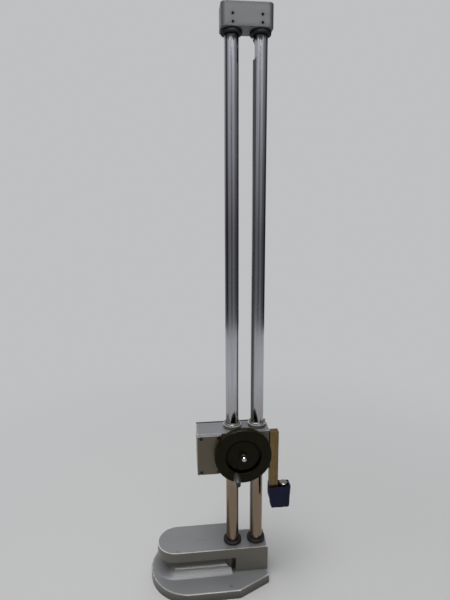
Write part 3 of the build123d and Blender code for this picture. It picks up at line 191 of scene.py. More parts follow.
# Window card: a bright pane high behind the camera, again only for reflections.
# It puts the shine on the fillet under the slab and on every rounded edge.
card_paint, tree = new_surface("window card")
add(tree, "OutputMaterial", {"Surface": add(tree, "Emission", {"Strength": 7.5})})
card_place, card_tilt = (-0.10, -1.22, 1.50), math.radians(40)
card_width, card_height = 1.4, 0.62
mesh = bmesh.new()
bmesh.ops.create_grid(mesh, x_segments=1, y_segments=1, size=0.5, matrix=(
    Matrix.Translation(card_place) @ Matrix.Rotation(card_tilt, 4, "X")
    @ Matrix.Diagonal((card_width, card_height, 1, 1))))
card = reflection_only("card", mesh, card_paint)

# Lamps: a broad one overhead, a little to the viewer's side, as ceiling tubes
# are, and a weak one from behind, which no metal mirrors.
lamp_target = Vector((0, 0, 0.3))
for name, spot, size, power in (
        ("ceiling_lamp", (-0.35, -0.28, 1.9), 1.0, 24), ("back_lamp", (0.3, 1.3, 1.6), 1.2, 5)):
    lamp_data = bpy.data.lights.new(name, "AREA")
    lamp_data.size = size
    lamp_data.energy = power
    lamp = bpy.data.objects.new(name, lamp_data)
    lamp.location = spot
    lamp.rotation_euler = (lamp_target - lamp.location).to_track_quat("-Z", "Y").to_euler()
    lamp.visible_glossy = name == "ceiling_lamp"
    bpy.context.scene.collection.objects.link(lamp)


# Castings: the base, the slider's housing, the bracket and both covers are cast
# iron under grey machine enamel. It is sprayed thin over the sand-cast skin, so
# it is faintly pebbled, and handling has knocked corners back to bright iron.
# Their upright faces and inside corners carry painted shade, and their upward
# edges a painted highlight as well as that wear.
def dress(material, *names):
    """Gives CAD nodes a material in place of the one they came with."""
    for name in names:
        slots = cad[name].data.materials
        slots.clear()
        slots.append(material)


def enamel(name, pale, dark, upright_shade_colour, upright_shade_share, reach, chips):
    """Machine enamel of two tones. Its upright faces are darkened and tinted, of that share, as
    painted shade and a painted warm reflection.

    Its edges are worn as far in as the reach, and a low number of chips leaves more bare.
    """
    made, tree, shader, place = new_material(
        name, Roughness=0.36, IOR=1.52, Coat_Weight=0.25, Coat_Roughness=0.22)
    blotch = add(tree, "TexNoise", {
        "Vector": place, "Scale": 1 / 0.030, "Detail": 5.0, "Roughness": 0.6})
    tone = add(tree, "MixRGB", {"Fac": blotch, "Color1": linear(dark), "Color2": linear(pale)})
    fine = add(tree, "TexNoise", {
        "Vector": place, "Scale": 1 / 0.004, "Detail": 4.0, "Roughness": 0.7})
    facing = add(tree, "SeparateXYZ", {0: add(tree, "NewGeometry").outputs["Normal"]}).outputs
    # Upright faces get painted shade in the given colour, warm on most castings as a painted
    # reflection.
    painted_upright_shade = add(tree, "MapRange", {
        "Value": facing["Z"], "From Min": 0.75, "From Max": 0.25, "To Max": upright_shade_share})
    upright_shaded = add(tree, "MixRGB", {
        "Fac": painted_upright_shade, "Color1": tone, "Color2": linear(upright_shade_colour)}, blend_type="MULTIPLY")
    # Painted shade lies within about 8 mm of an inside corner, darkest in the corner itself.
    corner_shade_ao = add(tree, "AmbientOcclusion", {"Distance": 0.008}, samples=8, only_local=True)
    painted_corner_shade = add(tree, "MapRange", {
        "Value": corner_shade_ao.outputs["AO"], "From Min": 0.80, "From Max": 0.30, "To Max": 0.45})
    shaded_and_low_darkened = add(tree, "MixRGB", {"Fac": painted_corner_shade, "Color1": upright_shaded, "Color2": linear("#2E2B26")})
    # The lowest 12 mm are darkened.
    height = add(tree, "SeparateXYZ", {0: place}).outputs["Z"]
    low = add(tree, "MapRange", {
        "Value": height, "From Min": 0.0125, "From Max": 0.002, "To Max": 0.85})
    shaded_and_low_darkened = add(tree, "MixRGB", {"Fac": low, "Color1": shaded_and_low_darkened, "Color2": linear("#3A352C")})
    # A rub runs about 90 mm along the casting. Real ones are under a millimetre
    # wide, and these are drawn 2.4 mm wide so that they show.
    along = add(tree, "Mapping", {
        "Vector": place, "Scale": (1 / 0.09, 1 / 0.0024, 1 / 0.01), "Rotation": (0, 0, 0.02)})
    rub = add(tree, "TexNoise", {"Vector": along, "Scale": 1.0, "Detail": 1.0})
    scored = add(tree, "MapRange", {
        "Value": rub, "From Min": 0.73, "From Max": 0.78, "To Max": 0.5})
    marked = add(tree, "MixRGB", {"Fac": scored, "Color1": shaded_and_low_darkened, "Color2": linear("#45464A")})
    # Oil spots, a few millimetres wide and about 40 mm apart.
    spot = add(tree, "TexVoronoi", {"Vector": place, "Scale": 1 / 0.042, "Randomness": 1.0})
    ring = add(tree, "Math", {0: spot.outputs["Distance"], 1: fine}, operation="MULTIPLY")
    stain = add(tree, "MapRange", {
        "Value": ring, "From Min": 0.045, "From Max": 0.02, "To Max": 0.45})
    stained = add(tree, "MixRGB", {"Fac": stain, "Color1": marked, "Color2": linear("#3F4043")})
    # Rays sent inwards find the outside corners, where noise breaks the paint into chips.
    edge = add(tree, "AmbientOcclusion", {
        "Distance": reach}, samples=8, inside=True, only_local=True)
    ragged = add(tree, "Math", {0: fine, 1: chips}, operation="MULTIPLY")
    worn = add(tree, "Math", {0: edge.outputs["AO"], 1: ragged}, operation="ADD")
    knocked = add(tree, "MapRange", {"Value": worn, "From Min": 0.93, "From Max": 0.83})
    # Only the edges that face upwards are knocked and brightened, so the bright edges are partly
    # wear and partly a painted highlight of the light above.
    upward_lit = add(tree, "MapRange", {"Value": facing["Z"], "From Min": 0.05, "From Max": 0.4})
    bare = add(tree, "Math", {0: knocked, 1: upward_lit}, operation="MULTIPLY")
    colour = add(tree, "MixRGB", {"Fac": bare, "Color1": stained, "Color2": linear("#DDDCD7")})
    tree.links.new(colour.outputs[0], shader.inputs["Base Color"])
    metal = add(tree, "MapRange", {"Value": bare, "To Max": 0.35})
    tree.links.new(metal.outputs[0], shader.inputs["Metallic"])
    # The cast skin's grains show through the paint as pebbles 2.2 mm across.
    pebble = add(tree, "TexNoise", {"Vector": place, "Scale": 1 / 0.0022, "Detail": 3.0})
    skin = add(tree, "Math", {0: pebble, 1: bare}, operation="SUBTRACT")
    bump = add(tree, "Bump", {"Height": skin, "Strength": 0.3, "Distance": 0.0003})
    tree.links.new(bump.outputs[0], shader.inputs["Normal"])
    return made


base_enamel = enamel(
    "grey enamel on cast iron", "#7E7F80", "#6F7071", "#D8D0B8", upright_shade_share=0.9, reach=0.0042, chips=0.42)
# The pattern's foot is swept by hand where the flange runs in under the slab,
# from 7.5 mm outside the slab's front edge to the middle of the groove's fillet.
slab_end, slab_middle = -0.100, 0.009  # X of the round end's centre, Y of the slab's axis
sweep_start, sweep_end, sweep_rise = 0.036, 0.019, 0.0094  # from the axis, and how high it ends
groove_middle, groove_half = 0.0215, 0.010
tree = base_enamel.node_tree
axes = add(tree, "SeparateXYZ", {0: add(tree, "TexCoord").outputs["Object"]}).outputs
past_end = add(tree, "Math", {0: slab_end, 1: axes["X"]}, operation="SUBTRACT")
past_end = add(tree, "Math", {0: past_end, 1: 0.0}, operation="MAXIMUM")
across = add(tree, "Math", {0: axes["Y"], 1: slab_middle}, operation="SUBTRACT")
from_axis = add(tree, "VectorMath", {
    0: add(tree, "CombineXYZ", {0: past_end, 1: across})}, operation="LENGTH")
swept = add(tree, "MapRange", {
    "Value": from_axis.outputs["Value"], "From Min": sweep_start, "From Max": sweep_end,
    "To Max": sweep_rise}, interpolation_type="SMOOTHSTEP")
# It dies away within 6 mm of the block that the columns stand in.
beside_block = add(tree, "MapRange", {
    "Value": axes["X"], "From Min": -0.0150, "From Max": -0.0210}, interpolation_type="SMOOTHSTEP")
in_groove = add(tree, "Math", {0: axes["Z"], 1: groove_middle, 2: groove_half}, operation="COMPARE")
swept = add(tree, "Math", {0: swept, 1: beside_block}, operation="MULTIPLY")
swept = add(tree, "Math", {0: swept, 1: in_groove}, operation="MULTIPLY")
sweep = add(tree, "Bump", {"Height": swept, "Strength": 1.0, "Distance": 1.0})
tree.links.new(sweep.outputs[0], tree.nodes["Bump"].inputs["Normal"])
dress(base_enamel, "base_casting")

housing_enamel = enamel(
    "grey enamel on the slider", "#76777A", "#67686B", "#D8D0B8", upright_shade_share=0.9, reach=0.0018, chips=0.5)
dress(housing_enamel, "slider_housing")

# Screws: the socket bolts under the base and every small screw are hardened
# steel with a black oxide finish, rubbed to grey and oily. The wheel's collar
# and the crank's pin are the same.
screw_black, tree, shader, place = new_material(
    "black oxide steel", Metallic=0.85, Roughness=0.42)
rust = add(tree, "TexNoise", {"Vector": place, "Scale": 1 / 0.0015, "Detail": 4.0})
colour = add(tree, "MixRGB", {
    "Fac": rust, "Color1": linear("#1E1D1B"), "Color2": linear("#4B443B")})
tree.links.new(colour.outputs[0], shader.inputs["Base Color"])
bump = add(tree, "Bump", {"Height": rust, "Strength": 0.2, "Distance": 0.0001})
tree.links.new(bump.outputs[0], shader.inputs["Normal"])
dress(screw_black, "column_bolts", "bracket_set_screws", "cover_screws", "gear_cover_screws",
      "movement_screws", "panel_screws", "case_screws", "arm_screws", "lock_screw",
      "wheel_collar", "handle_pin")

# Columns: two hardened bars, centreless ground, so fine grinding rings run
# round them and the shine is long and soft. The steel is browned near the foot
# as a painted warm reflection, and a dark ragged band is left above the slider's last reach.
column_steel, tree, shader, place = new_material("ground column steel", Metallic=1.0)
axes = add(tree, "SeparateXYZ", {0: place}).outputs
# Grinding leaves rings 0.1 mm apart, drawn here 0.8 mm apart so that they show.
rings = add(tree, "TexNoise", {
    "Vector": add(tree, "Mapping", {"Vector": place, "Scale": (1 / 0.05, 1 / 0.05, 1 / 0.0008)}),
    "Scale": 1.0, "Detail": 3.0})
dulled = add(tree, "MapRange", {"Value": rings, "To Min": 0.10, "To Max": 0.20})
tree.links.new(dulled.outputs[0], shader.inputs["Roughness"])
smear = add(tree, "TexNoise", {
    "Vector": add(tree, "Mapping", {"Vector": place, "Scale": (1 / 0.003, 1 / 0.003, 1 / 0.07)}),
    "Scale": 1.0, "Detail": 4.0})
clean = add(tree, "MixRGB", {
    "Fac": smear, "Color1": linear("#A9AAAF"), "Color2": linear("#D2D3D8")})
# Between 300 and 140 mm up the steel is browned as a painted warm reflection.
foot_reflection_tint = add(tree, "MapRange", {
    "Value": axes["Z"], "From Min": 0.30, "From Max": 0.14, "To Max": 0.85})
warmed_by_reflection = add(tree, "MixRGB", {"Fac": foot_reflection_tint, "Color1": clean, "Color2": linear("#846B4A")})
# The dark band starts about 730 mm up, and its hem hangs in tongues some 6 mm long.
tongues = add(tree, "TexNoise", {
    "Vector": add(tree, "Mapping", {"Vector": place, "Scale": (1 / 0.0016, 1 / 0.0016, 1 / 0.05)}),
    "Scale": 1.0, "Detail": 2.0})
hem = add(tree, "Math", {0: tongues, 1: 0.022}, operation="MULTIPLY")
level = add(tree, "Math", {0: axes["Z"], 1: hem}, operation="ADD")
band = add(tree, "MapRange", {
    "Value": level, "From Min": 0.7405, "From Max": 0.7435, "To Max": 0.93})
banded = add(tree, "MixRGB", {"Fac": band, "Color1": warmed_by_reflection, "Color2": linear("#23211E")})
# The milled flat that carries the rack is never wiped, and holds black grease.
flat_depth = 0.0034
flat_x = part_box("rack_column")[0].x + flat_depth
off_flat = add(tree, "Math", {0: axes["X"], 1: flat_x, 2: 0.0002}, operation="COMPARE")
sideways = add(tree, "SeparateXYZ", {0: add(tree, "NewGeometry").outputs["Normal"]}).outputs
square_on = add(tree, "MapRange", {"Value": sideways["X"], "From Min": -0.97, "From Max": -0.99})
on_flat = add(tree, "Math", {0: off_flat, 1: square_on}, operation="MULTIPLY")
colour = add(tree, "MixRGB", {"Fac": on_flat, "Color1": banded, "Color2": linear("#2A2825")})
tree.links.new(colour.outputs[0], shader.inputs["Base Color"])
bump = add(tree, "Bump", {"Height": rings, "Strength": 0.06, "Distance": 0.00005})
tree.links.new(bump.outputs[0], shader.inputs["Normal"])
dress(column_steel, "plain_column", "rack_column")

# Rack: a milled steel strip let into the flat of the right column. The cutter's
# marks run across the teeth, 0.2 mm apart, and the roots are darkened as painted shade.
rack_steel, tree, shader, place = new_material("milled rack steel", Metallic=1.0, Roughness=0.34)
marks = add(tree, "TexNoise", {
    "Vector": add(tree, "Mapping", {"Vector": place, "Scale": (1 / 0.0015, 1 / 0.0002, 1 / 0.002)}),
    "Scale": 1.0, "Detail": 3.0})
# The tooth roots, found by occlusion within 2 mm, are darkened as painted shade.
root_shade_ao = add(tree, "AmbientOcclusion", {"Distance": 0.002}, samples=6, only_local=True)
shine = add(tree, "MixRGB", {
    "Fac": marks, "Color1": linear("#6E6D6A"), "Color2": linear("#A09F9C")})
colour = add(tree, "MixRGB", {
    "Fac": root_shade_ao.outputs["AO"], "Color1": linear("#1F1C18"), "Color2": shine})
tree.links.new(colour.outputs[0], shader.inputs["Base Color"])
bump = add(tree, "Bump", {"Height": marks, "Strength": 0.2, "Distance": 0.00005})
tree.links.new(bump.outputs[0], shader.inputs["Normal"])
dress(rack_steel, "rack_strip")

# Rings: moulded rubber buffers at both ends of the columns. The rubber is dull
# and dusty, and oil has swollen its skin into pits about a millimetre wide.
ring_rubber, tree, shader, place = new_material(
    "nitrile rubber", Roughness=0.62, IOR=1.52, Specular_IOR_Level=0.35)
pits = add(tree, "TexNoise", {
    "Vector": place, "Scale": 1 / 0.0011, "Detail": 4.0, "Roughness": 0.7})
colour = add(tree, "MixRGB", {
    "Fac": pits, "Color1": linear("#0B0B0A"), "Color2": linear("#22221F")})
tree.links.new(colour.outputs[0], shader.inputs["Base Color"])
bump = add(tree, "Bump", {"Height": pits, "Strength": 0.5, "Distance": 0.0003})
tree.links.new(bump.outputs[0], shader.inputs["Normal"])
dress(ring_rubber, "foot_rings", "head_rings")

# Top bracket: a block of the same iron that joins the columns, linished flat
# before it was enamelled. The paint has dulled, so it has no clear shine.
bracket_enamel = enamel(
    "grey enamel on linished iron", "#85888D", "#75787D", "#F4F0E6",
    upright_shade_share=0.6, reach=0.0015, chips=0.75)
tree = bracket_enamel.node_tree
paint = tree.nodes["Principled BSDF"].inputs
paint["Coat Weight"].default_value = 0.0
paint["Specular IOR Level"].default_value = 0.2
# Its ends, the faces that look sideways, and its corners, which rays sent 5 mm
# inwards find, are darkened as painted shade.
corner_shade_ao = add(tree, "AmbientOcclusion", {"Distance": 0.005}, samples=8, inside=True, only_local=True)
shaded_corners = add(tree, "MapRange", {
    "Value": corner_shade_ao.outputs["AO"], "From Min": 0.98, "From Max": 0.6, "To Max": 0.5})
facing = add(tree, "SeparateXYZ", {0: add(tree, "NewGeometry").outputs["Normal"]}).outputs
sideways = add(tree, "Math", {0: facing["X"]}, operation="ABSOLUTE")
shaded_ends = add(tree, "MapRange", {
    "Value": sideways, "From Min": 0.1, "From Max": 0.8, "To Max": 0.85})
handling_and_shade = add(tree, "Math", {0: shaded_corners, 1: shaded_ends}, operation="MAXIMUM")
colour = add(tree, "MixRGB", {
    "Fac": handling_and_shade, "Color1": paint["Base Color"].links[0].from_socket,
    "Color2": linear("#4E4E4C")})
tree.links.new(colour.outputs[0], paint["Base Color"])
dress(bracket_enamel, "top_bracket")

# Rear cover: a thin casting screwed over the hand wheel's side of the slider.
# Its upright face is darkened and browned more than the base's, as painted shade
# and a painted warm reflection. The gear cover beside it is the same.
cover_enamel = enamel(
    "grey enamel with painted brown shade", "#76777A", "#67686B", "#CFB98C", upright_shade_share=1.0, reach=0.0014, chips=0.95)
dress(cover_enamel, "rear_cover", "gear_cover")

# Bushes: the slider runs on two pairs of phosphor bronze bushes, and its lock
# bears on a pad of the same. Turning marks run round them, drawn 0.4 mm apart
# so that they show, and the bronze has gone brown.
bush_bronze, tree, shader, place = new_material("phosphor bronze", Metallic=1.0, Roughness=0.3)
turned = add(tree, "TexNoise", {
    "Vector": add(tree, "Mapping", {"Vector": place, "Scale": (1 / 0.01, 1 / 0.01, 1 / 0.0004)}),
    "Scale": 1.0, "Detail": 3.0})
colour = add(tree, "MixRGB", {
    "Fac": turned, "Color1": linear("#6B4A28"), "Color2": linear("#A8794A")})
tree.links.new(colour.outputs[0], shader.inputs["Base Color"])
dress(bush_bronze, "lower_bushes", "upper_bushes", "lock_pad")

# Dome nut: a steel nut under bright chrome plate, which holds the hand wheel on
# its shaft. It mirrors the room, and fingers leave smudges 4 mm wide on it.
chrome, tree, shader, place = new_material("chrome plate", Metallic=1.0)
smudge = add(tree, "TexNoise", {"Vector": place, "Scale": 1 / 0.004, "Detail": 4.0})
smudged = add(tree, "MapRange", {
    "Value": smudge, "From Min": 0.35, "From Max": 0.75, "To Min": 0.06, "To Max": 0.2})
tree.links.new(smudged.outputs[0], shader.inputs["Roughness"])
colour = add(tree, "MixRGB", {
    "Fac": smudge, "Color1": linear("#E4E4E6"), "Color2": linear("#B9B7B2")})
tree.links.new(colour.outputs[0], shader.inputs["Base Color"])
dress(chrome, "dome_nut")

# Hand wheel: turned from a black phenolic moulding. The rim and the disc have a
# low shine, a mottle of handling and turning lines, which are drawn 0.5 mm
# apart so that they show.
wheel_resin, tree, shader, place = new_material(
    "black phenolic", IOR=1.6, Specular_IOR_Level=0.05, Coat_Weight=0.07, Coat_Roughness=0.12)
nut_low, nut_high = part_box("dome_nut")
centre = (nut_low + nut_high) / 2
centred = add(tree, "Mapping", {"Vector": place, "Location": (-centre.x, 0, -centre.z)})
flat = add(tree, "VectorMath", {0: centred, 1: (1, 0, 1)}, operation="MULTIPLY")
radius = add(tree, "VectorMath", {0: flat}, operation="LENGTH").outputs["Value"]
turning = add(tree, "TexNoise", {
    "Vector": add(tree, "CombineXYZ", {0: radius}), "Scale": 1 / 0.0005, "Detail": 3.0})
mottle = add(tree, "TexNoise", {"Vector": place, "Scale": 1 / 0.008, "Detail": 5.0})
worn = add(tree, "MixRGB", {
    "Fac": mottle, "Color1": linear("#121004"), "Color2": linear("#1D1B06")})
# The step round the disc, between radii of 21.3 and 24.5 mm, is painted near black as painted
# shade.
step_radius, step_half = 0.0229, 0.0016
step_shade = add(tree, "Math", {0: radius, 1: step_radius, 2: step_half}, operation="COMPARE")
colour = add(tree, "MixRGB", {"Fac": step_shade, "Color1": worn, "Color2": linear("#040403")})
tree.links.new(colour.outputs[0], shader.inputs["Base Color"])
handling_and_shade = add(tree, "MapRange", {
    "Value": mottle, "From Min": 0.3, "From Max": 0.7, "To Min": 0.22, "To Max": 0.36})
tree.links.new(handling_and_shade.outputs[0], shader.inputs["Roughness"])
bump = add(tree, "Bump", {"Height": turning, "Strength": 0.12, "Distance": 0.00006})
tree.links.new(bump.outputs[0], shader.inputs["Normal"])
dress(wheel_resin, "hand_wheel")

# Crank handle: a steel grip turned to a barrel and polished, free on a riveted
# pin. Its shine is broken by streaks, drawn 0.6 mm wide so that they show. The
# wiper caps on the slider are of the same rubbed steel.
handle_steel, tree, shader, place = new_material("polished steel", Metallic=1.0)
streak = add(tree, "TexNoise", {
    "Vector": add(tree, "Mapping", {"Vector": place, "Scale": (1 / 0.001, 1 / 0.0006, 1 / 0.001)}),
    "Scale": 1.0, "Detail": 3.0})
rubbed = add(tree, "MapRange", {"Value": streak, "To Min": 0.34, "To Max": 0.5})
tree.links.new(rubbed.outputs[0], shader.inputs["Roughness"])
colour = add(tree, "MixRGB", {
    "Fac": streak, "Color1": linear("#828280"), "Color2": linear("#A4A4A2")})
tree.links.new(colour.outputs[0], shader.inputs["Base Color"])
dress(handle_steel, "crank_handle", "wiper_caps")

# Shafts: the wheel's shaft, the arbors, the studs and the clamp's screw are
# ground steel, with a satin shine and faint stains a millimetre across.
shaft_steel, tree, shader, place = new_material("ground shaft steel", Metallic=1.0, Roughness=0.25)
stains = add(tree, "TexNoise", {"Vector": place, "Scale": 1 / 0.0012, "Detail": 4.0})
colour = add(tree, "MixRGB", {
    "Fac": stains, "Color1": linear("#77726A"), "Color2": linear("#A9A6A0")})
tree.links.new(colour.outputs[0], shader.inputs["Base Color"])
dress(shaft_steel, "wheel_shaft", "pinion_arbor", "transfer_stud", "pointer_arbor",
      "counter_shafts", "movement_pillars", "clamp_screw")

# Gears: the wheels, pinions and movement plate are hobbed or cut from brass,
# lightly oiled. Tarnish has browned them in patches about 3 mm across.
gear_brass, tree, shader, place = new_material("hobbed brass", Metallic=1.0, Roughness=0.3)
tarnish = add(tree, "TexNoise", {"Vector": place, "Scale": 1 / 0.003, "Detail": 5.0})
colour = add(tree, "MixRGB", {
    "Fac": tarnish, "Color1": linear("#7A5F2C"), "Color2": linear("#C6A65C")})
tree.links.new(colour.outputs[0], shader.inputs["Base Color"])
bump = add(tree, "Bump", {"Height": tarnish, "Strength": 0.1, "Distance": 0.0001})
tree.links.new(bump.outputs[0], shader.inputs["Normal"])
dress(gear_brass, "wheel_gear", "rack_pinion", "arbor_gear", "dial_drive_gear",
      "transfer_gear", "transfer_pinion", "movement_plate")

# Front panel: a thin cover on the reading side, sprayed satin black over a fine
# wrinkle 0.9 mm across, with the grey metal rubbed through along its edge.
panel_paint, tree, shader, place = new_material("satin black paint", Roughness=0.45, IOR=1.5)
wrinkle = add(tree, "TexNoise", {"Vector": place, "Scale": 1 / 0.0009, "Detail": 3.0})
edge = add(tree, "AmbientOcclusion", {"Distance": 0.0012}, samples=6, inside=True, only_local=True)
ragged = add(tree, "Math", {0: wrinkle, 1: 0.4}, operation="MULTIPLY")
rubbed = add(tree, "Math", {0: edge.outputs["AO"], 1: ragged}, operation="ADD")
bare = add(tree, "MapRange", {
    "Value": rubbed, "From Min": 0.86, "From Max": 0.72, "To Max": 0.8})
colour = add(tree, "MixRGB", {
    "Fac": bare, "Color1": linear("#2A2B2A"), "Color2": linear("#8B8A86")})
tree.links.new(colour.outputs[0], shader.inputs["Base Color"])
bump = add(tree, "Bump", {"Height": wrinkle, "Strength": 0.35, "Distance": 0.0002})
tree.links.new(bump.outputs[0], shader.inputs["Normal"])
dress(panel_paint, "front_panel", "dial_case")

# Bezel: a brass ring under satin chrome that turns with the dial face. Its rim
# has a straight knurl for the fingers, rolled in as 120 fine ridges. The plate
# is softly bright, and hazed by wiping in patches 5 mm wide.
satin_chrome, tree, shader, place = new_material("satin chrome plate", Metallic=1.0)
haze = add(tree, "TexNoise", {"Vector": place, "Scale": 1 / 0.005, "Detail": 4.0})
hazed = add(tree, "MapRange", {"Value": haze, "To Min": 0.16, "To Max": 0.34})
tree.links.new(hazed.outputs[0], shader.inputs["Roughness"])
colour = add(tree, "MixRGB", {
    "Fac": haze, "Color1": linear("#BDBDBD"), "Color2": linear("#A3A19C")})
tree.links.new(colour.outputs[0], shader.inputs["Base Color"])
dress(satin_chrome, "bezel_ring")


def knurled_ring(inner, outer, ridge, ridges, low, high):
    """A ring about Z from low to high, with straight ridges round its outer wall."""
    mesh = bmesh.new()
    rim = bmesh.ops.create_circle(mesh, radius=outer, segments=2 * ridges)["verts"]
    for vert in rim[::2]:
        vert.co *= (outer - ridge) / outer
    bmesh.ops.create_circle(mesh, radius=inner, segments=2 * ridges)
    bmesh.ops.bridge_loops(mesh, edges=mesh.edges[:])
    bmesh.ops.translate(mesh, vec=(0, 0, low), verts=mesh.verts)
    risen = bmesh.ops.extrude_face_region(mesh, geom=mesh.faces[:], use_keep_orig=True)["geom"]
    bmesh.ops.translate(
        mesh, vec=(0, 0, high - low), verts=[v for v in risen if isinstance(v, bmesh.types.BMVert)])
    return mesh


ring_low, ring_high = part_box("bezel_ring")
ring_centre = (ring_low + ring_high) / 2
ring_radius = (ring_high.x - ring_low.x) / 2
# The knurl stands 0.25 mm proud of the plain ring, from 1.2 to 5.2 mm along it.
mesh = knurled_ring(
    inner=ring_radius - 0.0006, outer=ring_radius + 0.00025, ridge=0.0005, ridges=120,
    low=0.0012, high=0.0052)
bmesh.ops.transform(mesh, verts=mesh.verts, matrix=(
    Matrix.Translation((ring_centre.x, ring_low.y, ring_centre.z))
    @ Matrix.Rotation(math.radians(-90), 4, "X")))
bezel_knurl = new_piece("bezel_knurl", mesh, satin_chrome, "bezel")

# Dial face: a white enamelled disc, faintly yellowed, printed in black with 100
# lines. One turn of the pointer is two millimetres, so each line is two
# hundredths.
dial_enamel, tree, shader, place = new_material("white dial enamel", Roughness=0.35, IOR=1.5)
yellowing = add(tree, "TexNoise", {"Vector": place, "Scale": 1 / 0.012, "Detail": 4.0})
colour = add(tree, "MixRGB", {
    "Fac": yellowing, "Color1": linear("#EFEDE4"), "Color2": linear("#DDD9CB")})
tree.links.new(colour.outputs[0], shader.inputs["Base Color"])
dress(dial_enamel, "dial_face")

# The ink is matt, and thin in specks 0.6 mm wide where the pad missed.
print_ink, tree, shader, place = new_material("black printing ink", Roughness=0.5, IOR=1.5)
thin = add(tree, "TexNoise", {"Vector": place, "Scale": 1 / 0.0006, "Detail": 3.0})
colour = add(tree, "MixRGB", {
    "Fac": thin, "Color1": linear("#0D0D0D"), "Color2": linear("#26262A")})
tree.links.new(colour.outputs[0], shader.inputs["Base Color"])


def figure(text, size, thickness):
    """A number as a thin solid, centred in the XY plane, as a mesh."""
    curve = bpy.data.curves.new("figure", "FONT")
    curve.body = text
    curve.size = size
    curve.extrude = thickness / 2
    curve.resolution_u = 3
    curve.align_x = curve.align_y = "CENTER"
    holder = bpy.data.objects.new("figure", curve)
    bpy.context.scene.collection.objects.link(holder)
    made = bpy.data.meshes.new_from_object(holder)
    bpy.data.objects.remove(holder)
    bpy.data.curves.remove(curve)
    return made


face_low, face_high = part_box("dial_face")
face_centre = Vector(((face_low.x + face_high.x) / 2, face_high.y, (face_low.z + face_high.z) / 2))
# This turns the XY plane to face +Y, upright for a reader who stands there.
facing_front = Matrix(((-1, 0, 0, 0), (0, 0, 1, 0), (0, 1, 0, 0), (0, 0, 0, 1)))
on_dial = Matrix.Translation(face_centre) @ facing_front
ink_depth = 0.00004
line_radius, number_radius = 0.0188, 0.0142
ten_line, five_line, plain_line = (0.0026, 0.0003), (0.0019, 0.00022), (0.0013, 0.00014)
mesh = bmesh.new()
for line in range(100):
    length, width = ten_line if line % 10 == 0 else five_line if line % 5 == 0 else plain_line
    bmesh.ops.create_cube(mesh, size=1, matrix=(
        on_dial @ Matrix.Rotation(-line * math.tau / 100, 4, "Z")
        @ Matrix.Translation((0, line_radius - length / 2, 0))
        @ Matrix.Diagonal((width, length, ink_depth, 1))))
dial_lines = new_piece("dial_lines", mesh, print_ink, "bezel")

mesh = bmesh.new()
for ten in range(10):
    digits = figure(str(10 * ten), 0.0034, ink_depth)
    turn = ten * math.tau / 10
    digits.transform(on_dial @ Matrix.Translation(
        (number_radius * math.sin(turn), number_radius * math.cos(turn), 0)))
    mesh.from_mesh(digits)
    bpy.data.meshes.remove(digits)
dial_numbers = new_piece("dial_numbers", mesh, print_ink, "bezel")

# Pointer: a blanked steel hand, pressed on its arbor and painted satin black.
# The paint is a little grey in specks 0.8 mm wide.
pointer_black, tree, shader, place = new_material("black pointer paint", Roughness=0.38, IOR=1.5)
speck = add(tree, "TexNoise", {"Vector": place, "Scale": 1 / 0.0008, "Detail": 3.0})
colour = add(tree, "MixRGB", {
    "Fac": speck, "Color1": linear("#101010"), "Color2": linear("#242424")})
tree.links.new(colour.outputs[0], shader.inputs["Base Color"])
dress(pointer_black, "dial_pointer")

# Crystal and windows: cut from clear acrylic sheet and pressed in. They are
# clear and glossy, and faintly hazed by wiping in streaks 0.7 mm wide.
clear_sheet, tree, shader, place = new_material(
    "clear acrylic sheet", Transmission_Weight=1.0, IOR=1.49, Base_Color=linear("#F4F7F6"))
wiped = add(tree, "TexNoise", {
    "Vector": add(tree, "Mapping", {"Vector": place, "Scale": (1 / 0.006, 1 / 0.006, 1 / 0.0007)}),
    "Scale": 1.0, "Detail": 3.0})
hazed = add(tree, "MapRange", {
    "Value": wiped, "From Min": 0.45, "From Max": 0.8, "To Max": 0.09})
tree.links.new(hazed.outputs[0], shader.inputs["Roughness"])
dress(clear_sheet, "dial_crystal", "counter_windows")

# Counters: a moulded black frame holds two rows of white number drums behind
# two windows, one row counting up and the other down. The buttons and the
# lock's knob are moulded too, with a fine matt grain 0.6 mm across.
frame_resin, tree, shader, place = new_material("moulded black resin", IOR=1.53, Roughness=0.4)
grain = add(tree, "TexNoise", {"Vector": place, "Scale": 1 / 0.0006, "Detail": 3.0})
colour = add(tree, "MixRGB", {
    "Fac": grain, "Color1": linear("#121212"), "Color2": linear("#262625")})
tree.links.new(colour.outputs[0], shader.inputs["Base Color"])
bump = add(tree, "Bump", {"Height": grain, "Strength": 0.3, "Distance": 0.0001})
tree.links.new(bump.outputs[0], shader.inputs["Normal"])
dress(frame_resin, "counter_frame", "up_reset_button", "down_reset_button", "lock_knob")

# The drums are moulded in white acetal, which is waxy and has aged to cream in
# places.
drum_white, tree, shader, place = new_material("white acetal", Roughness=0.42, IOR=1.48)
aged = add(tree, "TexNoise", {"Vector": place, "Scale": 1 / 0.004, "Detail": 3.0})
colour = add(tree, "MixRGB", {
    "Fac": aged, "Color1": linear("#F0EEE6"), "Color2": linear("#DCD8CC")})
tree.links.new(colour.outputs[0], shader.inputs["Base Color"])
dress(drum_white, "up_units_drum", "down_units_drum", "higher_drums")


